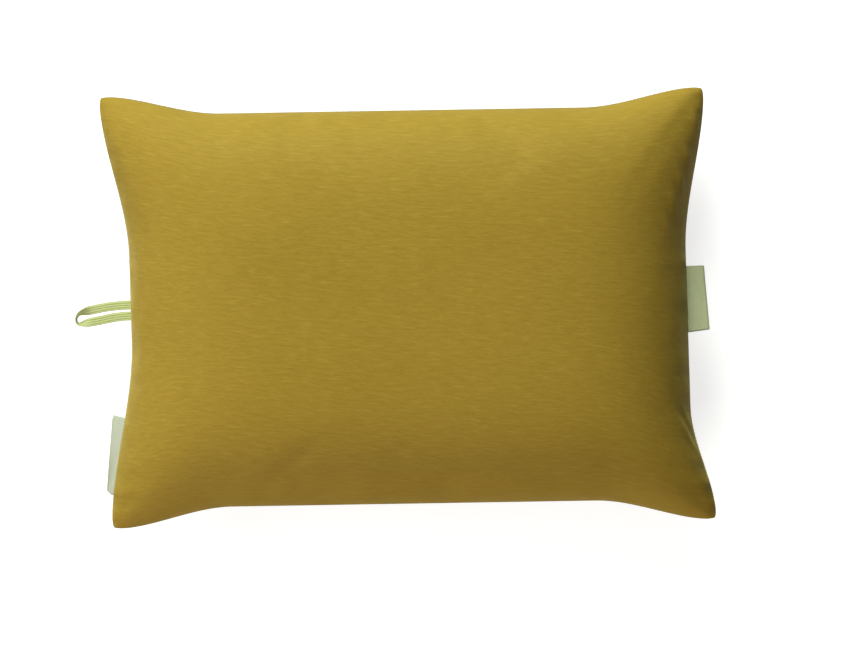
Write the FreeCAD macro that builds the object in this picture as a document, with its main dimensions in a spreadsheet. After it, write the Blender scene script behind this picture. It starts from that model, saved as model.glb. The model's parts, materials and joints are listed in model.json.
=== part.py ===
import FreeCAD, Part

import math
import os

import Sketcher
from FreeCAD import Placement, Rotation, Vector

# Camp pillow lying face up. Millimetres, +Z up, X along the long side.
# The origin is the middle of the flat patch the pillow rests on.

SIZES = [
    # plan of the filled cover, measured at its edge seam
    ("half_length", 190.5, "centre to the corners along X"),
    ("half_width", 136.5, "centre to the corners along Y"),
    ("lean_x", -0.9, "shear of the filled plan along X"),
    ("lean_y", -1.5, "shear of the filled plan along Y"),
    ("pull_top", 12.0, "how far the upper side draws in between its corners"),
    ("pull_bottom", 13.2, "how far the lower side draws in"),
    ("pull_left", 16.0, "how far the left side draws in"),
    ("pull_right", 14.4, "how far the right side draws in"),
    ("flare_long", 76.0, "length of each corner's flare along the long sides"),
    ("flare_left_top", 101.0, "length of each corner's flare along the short sides"),
    ("flare_left_bottom", 118.0, "the same at the lower left corner"),
    ("flare_right_top", 103.0, "the same at the upper right corner"),
    ("flare_right_bottom", 72.0, "the same at the lower right corner"),
    ("corner_blunt", 1.3, "how far each corner tip is rounded back"),
    ("corner_power", 40.0, "how tightly the rounding keeps to the tip"),
    ("tuck_power", 8.0, "how tightly inner layers round off towards the corners"),
    ("tuck_seam", 9.0, "how far the seam allowance stays out of the corner tips"),
    ("tuck_cell", 14.0, "how far the air cell stays out of the corner tips"),
    # section through the filled cover
    ("seam_height", 35.0, "edge seam above the ground"),
    ("rise_front", 44.0, "crown of the front above the seam"),
    ("rise_back", 37.5, "crown of the back below the seam, before it flattens"),
    ("edge_angle", 80.0, "where each crown profile is cut off at the seam"),
    ("power_long", 5.0, "fullness of the crown along X"),
    ("power_short", 4.0, "fullness of the crown along Y"),
    ("seam_gap", 0.3, "opening between the two cover faces at the seam"),
    ("hem", 0.3, "upright edge of each layer at the seam"),
    # cover and seam
    ("fabric", 1.2, "brushed knit of the cover"),
    ("allowance_in", 1.7, "seam allowance, outer edge inside the seam"),
    ("allowance_out", 4.6, "seam allowance, inner edge inside the seam"),
    ("allowance_half", 0.7, "half thickness of the overlocked allowance"),
    # layers inside the cover
    ("layer_gap", 0.3, "clearance between neighbouring layers"),
    ("foam", 10.0, "comfort foam at the crown"),
    ("foam_edge_in", 5.2, "foam outer edge inside the seam"),
    ("foam_edge", 3.0, "foam thickness at its feathered edge"),
    ("film", 0.6, "laminated film of the air cell"),
    ("baffle", 0.8, "thickness of an air cell baffle"),
    ("baffle_pitch", 86.0, "spacing of the three baffles"),
    ("baffle_port", 9.0, "radius of the air ports in a baffle"),
    ("baffle_port_pitch", 68.0, "spacing of the air ports"),
    # closure on the back of the cover
    ("zip_place", -0.80, "position across the back as a share of the half width"),
    ("zip_slot_half", 84.0, "half length of the opening for the zip"),
    ("zip_slot_width", 9.2, "width of the opening for the zip"),
    ("panel_slit", 0.4, "joint between the two back panels beyond the zip"),
    ("tape_half", 92.0, "half length of a zip tape"),
    ("tape_width", 8.5, "width of one zip tape"),
    ("tape_depth", 1.5, "outer face of the tapes below the cover's face"),
    ("tape", 0.6, "thickness of a zip tape"),
    ("coil_half", 78.0, "half length of the nylon coils"),
    ("coil_width", 1.3, "width of one coil"),
    ("coil_depth", 0.4, "outer face of the coils below the cover's face"),
    ("chain_gap", 0.5, "half the space between the two coils"),
    ("stop_length", 2.0, "end stop along the zip"),
    ("slider_rest", 70.0, "slider along the zip when the cover is closed"),
    ("slider_length", 9.0, "slider body along the zip"),
    ("slider_width", 6.0, "slider body across the zip"),
    ("slider_plate", 0.9, "thickness of the slider's two plates"),
    ("slider_top", 0.2, "underside of the slider's outer plate above the cover's face"),
    ("slider_under", -2.7, "upper side of the slider's inner plate"),
    ("slider_post", 0.5, "thickness of the wedge between the coils"),
    ("bail_half", 2.6, "half length of the bail that holds the pull"),
    ("bail_width", 1.2, "width of the bail"),
    ("bail_bar", 0.7, "thickness of the bail"),
    ("bail_height", 2.4, "height of the bail above the plate"),
    ("pull_length", 17.0, "zip pull from its pivot to its end"),
    ("pull_width", 4.8, "width of the zip pull"),
    ("pull_thick", 0.9, "thickness of the zip pull"),
    ("pull_bar", 0.5, "half width of the bar that turns in the bail"),
    ("pull_eye", 2.2, "width of the eye around the bail"),
    ("pull_eye_length", 4.2, "length of the eye around the bail"),
    ("pivot_height", 0.95, "pull pivot above the slider's plate"),
    # air valve on the back
    ("valve_u", -0.78, "valve position along X as a share of the half length"),
    ("valve_v", 0.62, "valve position along Y as a share of the half width"),
    ("port_radius", 18.2, "hole in the cover for the valve"),
    ("binding_width", 1.5, "width of the binding around that hole"),
    ("binding_proud", 0.5, "how far the binding stands proud on each face"),
    ("flange_radius", 15.9, "valve flange welded to the film"),
    ("flange_top", -3.2, "outer face of the flange"),
    ("flange_thick", 1.0, "thickness of the flange"),
    ("collar_radius", 11.0, "outside of the valve collar"),
    ("collar_bore", 8.8, "bore of the valve collar"),
    ("collar_top", -1.0, "rim of the valve collar"),
    ("collar_foot", -6.6, "inner end of the valve collar"),
    ("plug_top_radius", 8.6, "inflation plug at the collar's rim"),
    ("plug_foot_radius", 8.2, "inflation plug at its inner end"),
    ("plug_foot", -4.2, "inner end of the inflation plug"),
    ("plug_lip_low", -0.8, "underside of the plug's lip"),
    ("plug_lip_top", 0.2, "outer face of the plug's lip"),
    ("plug_lip_radius", 11.2, "radius of the plug's lip"),
    ("plug_bore", 6.6, "inflation bore through the plug"),
    ("spoke_width", 1.3, "width of the spokes across the bore"),
    ("spoke_thick", 0.8, "thickness of the spokes"),
    ("hub_radius", 2.0, "hub in the middle of the spokes"),
    ("hub_bore", 0.95, "hole in the hub for the membrane's stem"),
    ("plug_hinge", 13.2, "plug hinge from the valve's axis"),
    ("strap_width", 5.0, "width of the hinge straps"),
    ("strap_gap", 0.3, "space between a strap and the stub it folds on"),
    ("stub", 1.1, "length of a hinge stub"),
    ("membrane_radius", 6.2, "one-way membrane"),
    ("membrane_top", -4.35, "outer face of the membrane"),
    ("membrane_thick", 0.5, "thickness of the membrane"),
    ("stem_radius", 0.8, "stem that holds the membrane"),
    ("stem_bulb_radius", 1.4, "bulb that locks the stem"),
    ("stem_bulb_low", -3.2, "underside of the bulb"),
    ("stem_bulb_top", -2.6, "top of the bulb"),
    ("cap_low", 0.4, "underside of the cap"),
    ("cap_top", 1.6, "outer face of the cap"),
    ("cap_radius", 10.0, "radius of the cap"),
    ("cap_skirt_top", 6.2, "cap skirt at the top of the bore"),
    ("cap_skirt_foot", 5.7, "cap skirt at its inner end"),
    ("cap_skirt_wall", 1.0, "wall of the cap skirt"),
    ("cap_foot", -2.0, "inner end of the cap skirt"),
    ("cap_hinge", 12.0, "cap hinge from the valve's axis"),
    ("cap_grip", 2.2, "finger tab beyond the cap"),
    # trim in the edge seam
    ("ribbon_width", 5.7, "width of the hanging loop's ribbon"),
    ("ribbon", 0.9, "thickness of the ribbon"),
    ("loop_middle", 2.7, "middle of the loop along the left side"),
    ("loop_spread", 3.45, "each leg of the loop from its middle"),
    ("loop_reach", 34.5, "how far the loop stands out from the seam"),
    ("loop_droop", 5.2, "how far the loop's end hangs towards the lower side"),
    ("loop_clear", 0.7, "start of the loop outside the seam"),
    ("loop_tail", 8.0, "ribbon sewn in behind the seam"),
    ("label", 0.5, "thickness of a folded label"),
    ("left_label_clear", 0.8, "start of the left label outside the seam"),
    ("right_label_clear", 0.7, "start of the right label outside the seam"),
    ("label_round", 2.0, "rounding of a label's free corners"),
    ("left_label_v", -0.664, "middle of the left label as a share of the half width"),
    ("left_label_length", 49.0, "left label along the seam"),
    ("left_label_top", 7.1, "left label out from the seam at its upper end"),
    ("left_label_bottom", 3.9, "left label out from the seam at its lower end"),
    ("right_label_v", 0.020, "middle of the right label as a share of the half width"),
    ("right_label_length", 42.0, "right label along the seam"),
    ("right_label_top", 10.6, "right label out from the seam at its upper end"),
    ("right_label_bottom", 12.9, "right label out from the seam at its lower end"),
]

GRID_LONG = 37
GRID_SHORT = 31
LOOP_STEPS = 61
LOOP_FLAT = 0.62  # share of each leg that lies flat before the ribbon turns on edge
STEP = 1e-3
FAR = 600.0

doc = FreeCAD.newDocument("camp_pillow")
sheet = doc.addObject("Spreadsheet::Sheet", "sizes")


def fill_sheet():
    for row, (alias, value, note) in enumerate(SIZES, start=1):
        sheet.set("A%d" % row, alias)
        sheet.set("B%d" % row, repr(value))
        sheet.set("C%d" % row, note)
        sheet.setAlias("B%d" % row, alias)
    doc.recompute()


fill_sheet()


def size(alias):
    return float(sheet.get(alias))


def ref(expression):
    """The expression with every sheet name spelt out for setExpression."""
    words = expression.split(" ")
    names = {alias for alias, _, _ in SIZES}
    return " ".join("sizes." + w if w in names else w for w in words)


def bind(item, prop, expression):
    item.setExpression(prop, ref(expression))


# ---------------------------------------------------------------- crowned form


def ramp(share):
    share = max(0.0, min(1.0, share))
    return share * share * (3.0 - 2.0 * share)


def draw_in(u, v):
    """How far a point draws in along X; the two short sides differ."""
    end = "top" if v > 0 else "bottom"
    reach = (1.0 - abs(v)) * size("half_width")
    left, right = (
        size("pull_" + side) * ramp(reach / size("flare_%s_%s" % (side, end)))
        for side in ("left", "right")
    )
    share = ramp(0.5 + 0.5 * u)
    return (1.0 - share) * left + share * right


def plan(u, v, inset, tuck=0.0):
    """Plan position at u, v (-1 to 1): outline drawn in, corners tucked in more."""
    along = ramp((1.0 - abs(u)) * size("half_length") / size("flare_long"))
    both = 0.5 * (size("pull_top") + size("pull_bottom"))
    skew = 0.5 * (size("pull_top") - size("pull_bottom"))
    x = u * (size("half_length") - inset - draw_in(u, v))
    y = v * (size("half_width") - inset) - along * (both * v + skew * v * v)
    blunt = size("corner_blunt") * abs(u * v) ** size("corner_power")
    blunt += tuck * abs(u * v) ** size("tuck_power")
    x += size("lean_x") * v - math.copysign(blunt, u)
    y += size("lean_y") * u - math.copysign(blunt, v)
    return x, y


def arch(share, power):
    """Height (1 in the middle, 0 at the ends) of a crown profile."""
    top = math.sin(math.radians(size("edge_angle")))
    end = math.sqrt(1.0 - top**power)
    here = math.sqrt(max(0.0, 1.0 - abs(share * top) ** power))
    return (here - end) / (1.0 - end)


def crown_point(u, v, inset, rise, base, tuck=0.0):
    x, y = plan(u, v, inset, tuck)
    hem = math.copysign(size("hem"), rise)
    height = arch(u, size("power_long")) * arch(v, size("power_short"))
    return Vector(x, y, base + hem + (rise - hem) * height)


def stations(count):
    """Shares from -1 to 1, closer together towards the ends."""
    limit = math.radians(size("edge_angle"))
    steps = [limit * (2.0 * i / (count - 1) - 1.0) for i in range(count)]
    return [math.sin(a) / math.sin(limit) for a in steps]


def flat_face(wires):
    """Plane face inside the first wire, with the others as holes."""
    loops = []
    for wire in wires:
        edges = [e.Curve.toShape(e.FirstParameter, e.LastParameter)
                 for e in wire.OrderedEdges]
        loops.append(Part.Wire(Part.__sortEdges__(edges)))
    return Part.makeFace(loops, "Part::FaceMakerBullseye")


def crown(inset, rise, base, tuck=0.0):
    """Solid between the seam plane at base and a crown (downwards if rise < 0)."""
    across = stations(GRID_SHORT)
    rows = []
    for u in stations(GRID_LONG):
        rows.append([crown_point(u, v, inset, rise, base, tuck) for v in across])
    surface = Part.BSplineSurface()
    surface.interpolate(rows)
    face = surface.toShape()
    drop = Vector(0, 0, -math.copysign(size("hem"), rise))
    hem = face.OuterWire.extrude(drop)
    foot = face.OuterWire.copy()
    foot.translate(drop)
    shell = Part.Shell([face] + hem.Faces + [flat_face([foot])])
    shell.sewShape()
    solid = Part.Solid(shell)
    if solid.Volume < 0:
        solid.reverse()
    return solid


def base_face(form):
    """The flat face of a crown, at or next to the seam."""
    flats = [f for f in form.Faces if f.BoundBox.ZLength < 0.01]
    middle = size("seam_height")
    return min(flats, key=lambda f: abs(f.BoundBox.ZMax - middle))


def hollow(outer, inner):
    """Shell between two crowns that stand on one seam plane."""
    rims = [base_face(outer), base_face(inner)]
    walls = [f for f in outer.Faces if not f.isSame(rims[0])]
    walls += [f.reversed() for f in inner.Faces if not f.isSame(rims[1])]
    ring = flat_face([rim.OuterWire for rim in rims])
    shell = Part.Shell(walls + [ring])
    shell.sewShape()
    solid = Part.Solid(shell)
    if solid.Volume < 0:
        solid.reverse()
    return solid


def slab_below(height):
    return Part.makeBox(FAR, FAR, FAR, Vector(-FAR / 2, -FAR / 2, height - FAR))


def front_form(depth):
    """The front's crown, depth below its outer face."""
    base = size("seam_height") + size("seam_gap") / 2
    return crown(depth, size("rise_front") - depth, base)


def back_form(depth):
    """The back's crown with its flat patch, depth inside its outer face."""
    base = size("seam_height") - size("seam_gap") / 2
    return crown(depth, depth - size("rise_back"), base).cut(slab_below(depth))


def back_frame(u, v, straight):
    """Point on the back's outer face and a rotation whose Z is its normal."""
    base = size("seam_height") - size("seam_gap") / 2
    rise = -size("rise_back")
    here = crown_point(u, v, 0.0, rise, base)
    along = crown_point(u + STEP, v, 0.0, rise, base) - here
    across = crown_point(u, v + STEP, 0.0, rise, base) - here
    if straight:
        along = Vector(1, 0, 0)
    out = across.cross(along)
    out.normalize()
    side = out.cross(Vector(1, 0, 0))
    return here, Rotation(Vector(1, 0, 0), side, out, "ZXY")


ZIP_ORIGIN, ZIP_TURN = back_frame(0.0, size("zip_place"), True)
ZIP_FRAME = Placement(ZIP_ORIGIN, ZIP_TURN)
VALVE_ORIGIN, VALVE_TURN = back_frame(size("valve_u"), size("valve_v"), False)
VALVE_FRAME = Placement(VALVE_ORIGIN, VALVE_TURN)


# ---------------------------------------------------------------- document help

PARTS = []


def keep(item, label):
    item.Label = label
    PARTS.append(item)
    return item


def feature(label, shape):
    item = doc.addObject("Part::Feature", label)
    item.Shape = shape
    return item


def block(name, frame, lengths, corner):
    """Box in a local frame; lengths and corner are expressions."""
    item = doc.addObject("Part::Box", name)
    for prop, text in zip(("Length", "Width", "Height"), lengths):
        bind(item, prop, text)
    doc.recompute()
    start = Vector(*[item.evalExpression(ref(text)) for text in corner])
    item.Placement = frame.multiply(Placement(start, Rotation()))
    return item


def rod(name, frame, radius, low, length):
    """Cylinder along a local frame's Z; all three are expressions."""
    item = doc.addObject("Part::Cylinder", name)
    bind(item, "Radius", radius)
    bind(item, "Height", length)
    start = Vector(0, 0, item.evalExpression(ref(low)))
    item.Placement = frame.multiply(Placement(start, Rotation()))
    return item


def both(name, base, tool):
    item = doc.addObject("Part::Common", name)
    item.Base = base
    item.Tool = tool
    return item


def minus(name, base, tool):
    item = doc.addObject("Part::Cut", name)
    item.Base = base
    item.Tool = tool
    return item


def plane_of(body, role):
    return [f for f in body.Origin.OriginFeatures if f.Role == role][0]


def outline(body, name, role, corners):
    """Closed sketch whose corners (pairs of expressions) follow the sheet."""
    sketch = body.newObject("Sketcher::SketchObject", name)
    sketch.AttachmentSupport = [(plane_of(body, role), "")]
    sketch.MapMode = "FlatFace"
    points = []
    for across, up in corners:
        x = body.evalExpression(ref(across))
        y = body.evalExpression(ref(up))
        points.append(Vector(x, y, 0))
    count = len(points)
    for i in range(count):
        sketch.addGeometry(Part.LineSegment(points[i], points[(i + 1) % count]))
    for i in range(count):
        sketch.addConstraint(
            Sketcher.Constraint("Coincident", i, 2, (i + 1) % count, 1)
        )
    for i, (across, up) in enumerate(corners):
        for kind, value, text in (
            ("DistanceX", points[i].x, across),
            ("DistanceY", points[i].y, up),
        ):
            index = sketch.addConstraint(
                Sketcher.Constraint(kind, -1, 1, i, 1, value)
            )
            bind(sketch, "Constraints[%d]" % index, text)
    doc.recompute()
    return sketch


def rectangle(left, right, low, high):
    return [(left, low), (right, low), (right, high), (left, high)]


def new_body(label):
    return doc.addObject("PartDesign::Body", label)


def pad(body, name, sketch, length, middle=False):
    item = body.newObject("PartDesign::Pad", name)
    item.Profile = sketch
    bind(item, "Length", length)
    item.Midplane = middle
    doc.recompute()
    return item


def spin(body, name, sketch):
    item = body.newObject("PartDesign::Revolution", name)
    item.Profile = sketch
    item.ReferenceAxis = (sketch, ["V_Axis"])
    item.Angle = 360
    doc.recompute()
    return item


def pocket(body, name, sketch, length):
    """Cut through both ways from the sketch."""
    item = body.newObject("PartDesign::Pocket", name)
    item.Profile = sketch
    bind(item, "Length", length)
    item.Midplane = True
    doc.recompute()
    return item


def raised_sketch(body, name, height, corners):
    """Outline on the XY plane lifted to a height expression."""
    sketch = outline(body, name, "XY_Plane", corners)
    bind(sketch, "AttachmentOffset.Base.z", height)
    doc.recompute()
    return sketch


# ---------------------------------------------------------------- cover


def loop_notch():
    """Gap in the seam that the loop's sewn ends pass through."""
    wide = 2 * (size("loop_spread") + size("ribbon_width") / 2) + 0.8
    tall = size("ribbon") + 0.5
    edge = seam_x(size("loop_middle"), -1)
    corner = Vector(
        edge - 3.0, size("loop_middle") - wide / 2, size("seam_height") - tall / 2
    )
    return Part.makeBox(size("loop_tail") + 6.0, wide, tall, corner)


def seam_x(y, side):
    """X of the left (-1) or right (+1) seam at a given Y."""
    low, high = -1.0, 1.0
    for _ in range(40):
        middle = 0.5 * (low + high)
        if plan(side, middle, 0.0)[1] < y:
            low = middle
        else:
            high = middle
    return plan(side, low, 0.0)[0]


def make_cover():
    notch = loop_notch()
    front = hollow(front_form(0.0), front_form(size("fabric")))
    keep(feature("cover_front_panel", front.cut(notch)), "cover_front_panel")

    back = hollow(back_form(0.0), back_form(size("fabric")))
    back = feature("back_shell", back.cut(notch))
    slit = block(
        "panel_slit_tool",
        ZIP_FRAME,
        ("2 * half_length + 40", "panel_slit", "60"),
        ("0 - half_length - 20", "0 - panel_slit / 2", "0 - 40"),
    )
    slot = block(
        "zip_slot_tool",
        ZIP_FRAME,
        ("2 * zip_slot_half", "zip_slot_width", "12"),
        ("0 - zip_slot_half", "0 - zip_slot_width / 2", "0 - 6"),
    )
    port = rod("valve_port_tool", VALVE_FRAME, "port_radius", "0 - 9", "18")
    opened = minus("back_with_port", back, port)
    slotted = minus("back_with_slot", opened, slot)
    split = minus("back_split", slotted, slit)
    doc.recompute()
    halves = sorted(split.Shape.Solids, key=lambda s: s.CenterOfMass.y)
    keep(feature("cover_back_flap", halves[0]), "cover_back_flap")
    keep(feature("cover_back_panel", halves[-1]), "cover_back_panel")
    return len(halves)


def make_seam():
    half = size("allowance_half")
    low = size("seam_height") - half
    tuck = size("tuck_seam")
    rims = [base_face(crown(size(inset), half, low, tuck))
            for inset in ("allowance_in", "allowance_out")]
    ring = flat_face([rim.OuterWire for rim in rims])
    ring = ring.extrude(Vector(0, 0, 2 * half)).cut(loop_notch())
    keep(feature("seam_allowance", ring), "seam_allowance")


# ---------------------------------------------------------------- air cell and foam


def make_foam():
    base = size("seam_height") + size("seam_gap") / 2
    outer_rise = size("rise_front") - size("fabric") - size("layer_gap")
    tuck = size("tuck_cell")
    edge = size("foam_edge_in")
    outer = crown(edge, outer_rise, base, tuck)
    inner = crown(edge + size("foam_edge"), outer_rise - size("foam"), base, tuck)
    keep(feature("foam_pad", hollow(outer, inner)), "foam_pad")


def cell_inset():
    return size("foam_edge_in") + size("foam_edge") + size("layer_gap")


def cell_front(depth):
    """Upper half of the air cell, depth inside the film's outer face."""
    base = size("seam_height") + size("seam_gap") / 2
    rise = size("rise_front") - size("fabric") - size("foam") - 2 * size("layer_gap")
    return crown(cell_inset() + depth, rise - depth, base, size("tuck_cell"))


def cell_back(depth):
    """Lower half of the air cell, depth inside the film's outer face."""
    base = size("seam_height") - size("seam_gap") / 2
    floor = size("fabric") + size("layer_gap") + depth
    rise = size("rise_back") - size("fabric") - size("layer_gap") - depth
    form = crown(cell_inset() + depth, -rise, base, size("tuck_cell"))
    return form.cut(slab_below(floor))


def make_air_cell():
    front = hollow(cell_front(0.0), cell_front(size("film")))
    keep(feature("air_cell_front", front), "air_cell_front")
    shell = hollow(cell_back(0.0), cell_back(size("film")))
    back = feature("air_cell_back_shell", shell)
    hole = rod("valve_hole_tool", VALVE_FRAME, "flange_radius + 0.3", "0 - 14", "16")
    keep(minus("air_cell_back", back, hole), "air_cell_back")


def cell_section(place, rise, base):
    """Run of points across the air cell just inside its film, at one X."""
    inset = cell_inset() + size("film") + size("layer_gap")
    points = []
    for v in stations(GRID_SHORT)[2:-2]:
        reach = size("half_length") - inset - draw_in(place / size("half_length"), v)
        u = (place - size("lean_x") * v) / reach
        here = crown_point(u, v, inset, rise, base, size("tuck_cell"))
        points.append(Vector(place, here.y, here.z))
    return points


def baffle_plate(place):
    """Web that ties the air cell's two films together at one X."""
    inside = size("film") + size("layer_gap")
    clear = inside + size("layer_gap") + size("fabric")
    top = size("rise_front") - size("foam") - size("layer_gap") - clear
    bottom = size("rise_back") - clear
    runs = [cell_section(place, top, size("seam_height")),
            cell_section(place, -bottom, size("seam_height"))]
    curves = []
    for run in runs:
        curve = Part.BSplineCurve()
        curve.interpolate(run)
        curves.append(curve.toShape())
    ends = [Part.makeLine(runs[0][i], runs[1][i]) for i in (0, -1)]
    face = Part.Face(Part.Wire(Part.__sortEdges__(curves + ends)))
    plate = face.extrude(Vector(size("baffle"), 0, 0))
    plate.translate(Vector(-size("baffle") / 2, 0, 0))
    return plate.cut(slab_below(clear))


def make_baffles():
    pitch = size("baffle_pitch")
    for name, place in (("left", -pitch), ("middle", 0.0), ("right", pitch)):
        panel = feature("web_" + name, baffle_plate(place))
        for number, side in enumerate((-1, 0, 1)):
            turn = Rotation(Vector(0, 1, 0), 90)
            spot = Vector(place, side * size("baffle_port_pitch"),
                          size("seam_height") + 3.0)
            port = rod("port_%s_%d" % (name, number), Placement(spot, turn),
                       "baffle_port", "0 - 4", "8")
            panel = minus("web_%s_%d" % (name, number), panel, port)
        keep(panel, "baffle_" + name)


# ---------------------------------------------------------------- zip


def strip(name, frame, ends, sides, shell):
    """Part of a thin layer between two X and two Y limits of a local frame."""
    box = block(
        name + "_box",
        frame,
        ("( " + ends[1] + " ) - ( " + ends[0] + " )",
         "( " + sides[1] + " ) - ( " + sides[0] + " )", "12"),
        (ends[0], sides[0], "0 - 7"),
    )
    return both(name, box, feature(name + "_layer", shell))


def make_zip():
    top = size("tape_depth")
    tape = hollow(back_form(top), back_form(top + size("tape")))
    low = size("coil_depth")
    coil = hollow(back_form(low), back_form(top - 0.1))
    reach = "chain_gap + tape_width"
    width = "chain_gap + coil_width"
    tape_ends = ("0 - tape_half", "tape_half")
    coil_ends = ("0 - coil_half", "coil_half")
    sides = {
        "upper": (("chain_gap", reach), ("chain_gap", width)),
        "lower": (
            ("0 - chain_gap - tape_width", "0 - chain_gap"),
            ("0 - chain_gap - coil_width", "0 - chain_gap"),
        ),
    }
    for side, (tape_sides, coil_sides) in sides.items():
        # the frame's Y points down the back, so its sign is turned for "upper"
        name = "lower" if (ZIP_TURN.multVec(Vector(0, 1, 0)).y < 0) == (
            side == "upper") else "upper"
        keep(strip("tape_" + name, ZIP_FRAME, tape_ends, tape_sides, tape),
             "zip_tape_" + name)
        keep(strip("coil_" + name, ZIP_FRAME, coil_ends, coil_sides, coil),
             "zip_coil_" + name)
    stops = []
    for name, ends in (
        ("left", ("0 - coil_half - stop_length - 0.3", "0 - coil_half - 0.3")),
        ("right", ("coil_half + 0.3", "coil_half + 0.3 + stop_length")),
    ):
        cross = ("0 - chain_gap - coil_width", "chain_gap + coil_width")
        stops.append(strip("stop_" + name, ZIP_FRAME, ends, cross, coil))
    doc.recompute()
    pair = Part.makeCompound([s.Shape.Solids[0] for s in stops])
    keep(feature("zip_end_stops", pair), "zip_end_stops")


def slider_frame():
    rest = Placement(Vector(size("slider_rest"), 0, 0), Rotation())
    return ZIP_FRAME.multiply(rest)


def make_slider():
    body = new_body("zip_slider")
    half = "slider_length / 2"
    side = "slider_width / 2"
    plate = rectangle("0 - " + half, half, "0 - " + side, side)
    upper = raised_sketch(body, "outer_plate", "slider_top", plate)
    pad(body, "outer_plate_pad", upper, "slider_plate")
    wedge = rectangle("0 - " + half, "0 - " + half + " + 3", "0 - slider_post / 2",
                      "slider_post / 2")
    post = raised_sketch(body, "wedge", "slider_under - slider_plate / 2", wedge)
    pad(body, "wedge_pad", post, "slider_top - slider_under + slider_plate")
    lower = raised_sketch(body, "inner_plate", "slider_under - slider_plate", plate)
    pad(body, "inner_plate_pad", lower, "slider_plate")
    face = "slider_top + slider_plate"
    crest = face + " + bail_height"
    arch_profile = [
        ("0 - bail_half", face + " - 0.1"),
        ("0 - bail_half + bail_bar", face + " - 0.1"),
        ("0 - bail_half + bail_bar", crest + " - bail_bar"),
        ("bail_half - bail_bar", crest + " - bail_bar"),
        ("bail_half - bail_bar", face + " - 0.1"),
        ("bail_half", face + " - 0.1"),
        ("bail_half", crest),
        ("0 - bail_half", crest),
    ]
    bail = outline(body, "bail", "XZ_Plane", arch_profile)
    pad(body, "bail_pad", bail, "bail_width", middle=True)
    body.Placement = slider_frame()
    keep(body, "zip_slider")


def make_pull():
    body = new_body("zip_pull")
    side = "pull_width / 2"
    plate = rectangle("0 - pull_length", "pull_bar", "0 - " + side, side)
    outer = raised_sketch(body, "plate", "0 - pull_thick / 2", plate)
    pad(body, "plate_pad", outer, "pull_thick")
    eye = rectangle("0 - pull_bar - pull_eye_length", "0 - pull_bar",
                    "0 - pull_eye / 2", "pull_eye / 2")
    hole = outline(body, "eye", "XY_Plane", eye)
    pocket(body, "eye_cut", hole, "6")
    grip = rectangle("0 - pull_length + 2", "0 - pull_length + 7.5", "0 - 0.7", "0.7")
    slot = outline(body, "cord_slot", "XY_Plane", grip)
    pocket(body, "cord_slot_cut", slot, "6")
    lift = Placement(
        Vector(0, 0, size("slider_top") + size("slider_plate") + size("pivot_height")),
        Rotation(),
    )
    body.Placement = slider_frame().multiply(lift)
    keep(body, "zip_pull")


# ---------------------------------------------------------------- valve


def make_valve_binding():
    proud = size("binding_proud")
    layer = hollow(back_form(-proud), back_form(size("fabric") + proud))
    wide = rod("binding_outer", VALVE_FRAME, "port_radius - 0.2", "0 - 9", "18")
    bore = rod("binding_bore", VALVE_FRAME, "port_radius - 0.2 - binding_width",
               "0 - 10", "20")
    ring = minus("binding_ring", wide, bore)
    keep(both("valve_port_binding", feature("binding_layer", layer), ring),
         "valve_port_binding")


def make_valve_base():
    body = new_body("valve_base")
    low = "flange_top - flange_thick"
    profile = [
        ("collar_bore", "collar_foot"),
        ("collar_radius", "collar_foot"),
        ("collar_radius", low),
        ("flange_radius", low),
        ("flange_radius", "flange_top"),
        ("collar_radius", "flange_top"),
        ("collar_radius", "collar_top"),
        ("collar_bore", "collar_top"),
    ]
    spin(body, "collar", outline(body, "collar_profile", "XZ_Plane", profile))
    inner = "0 - plug_hinge - strap_gap"
    stub = rectangle(inner + " - stub", inner, "flange_top - 0.2", "plug_lip_top - 0.1")
    foot = outline(body, "stub_profile", "XZ_Plane", stub)
    pad(body, "stub_pad", foot, "strap_width", middle=True)
    body.Placement = VALVE_FRAME
    keep(body, "valve_base")


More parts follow.
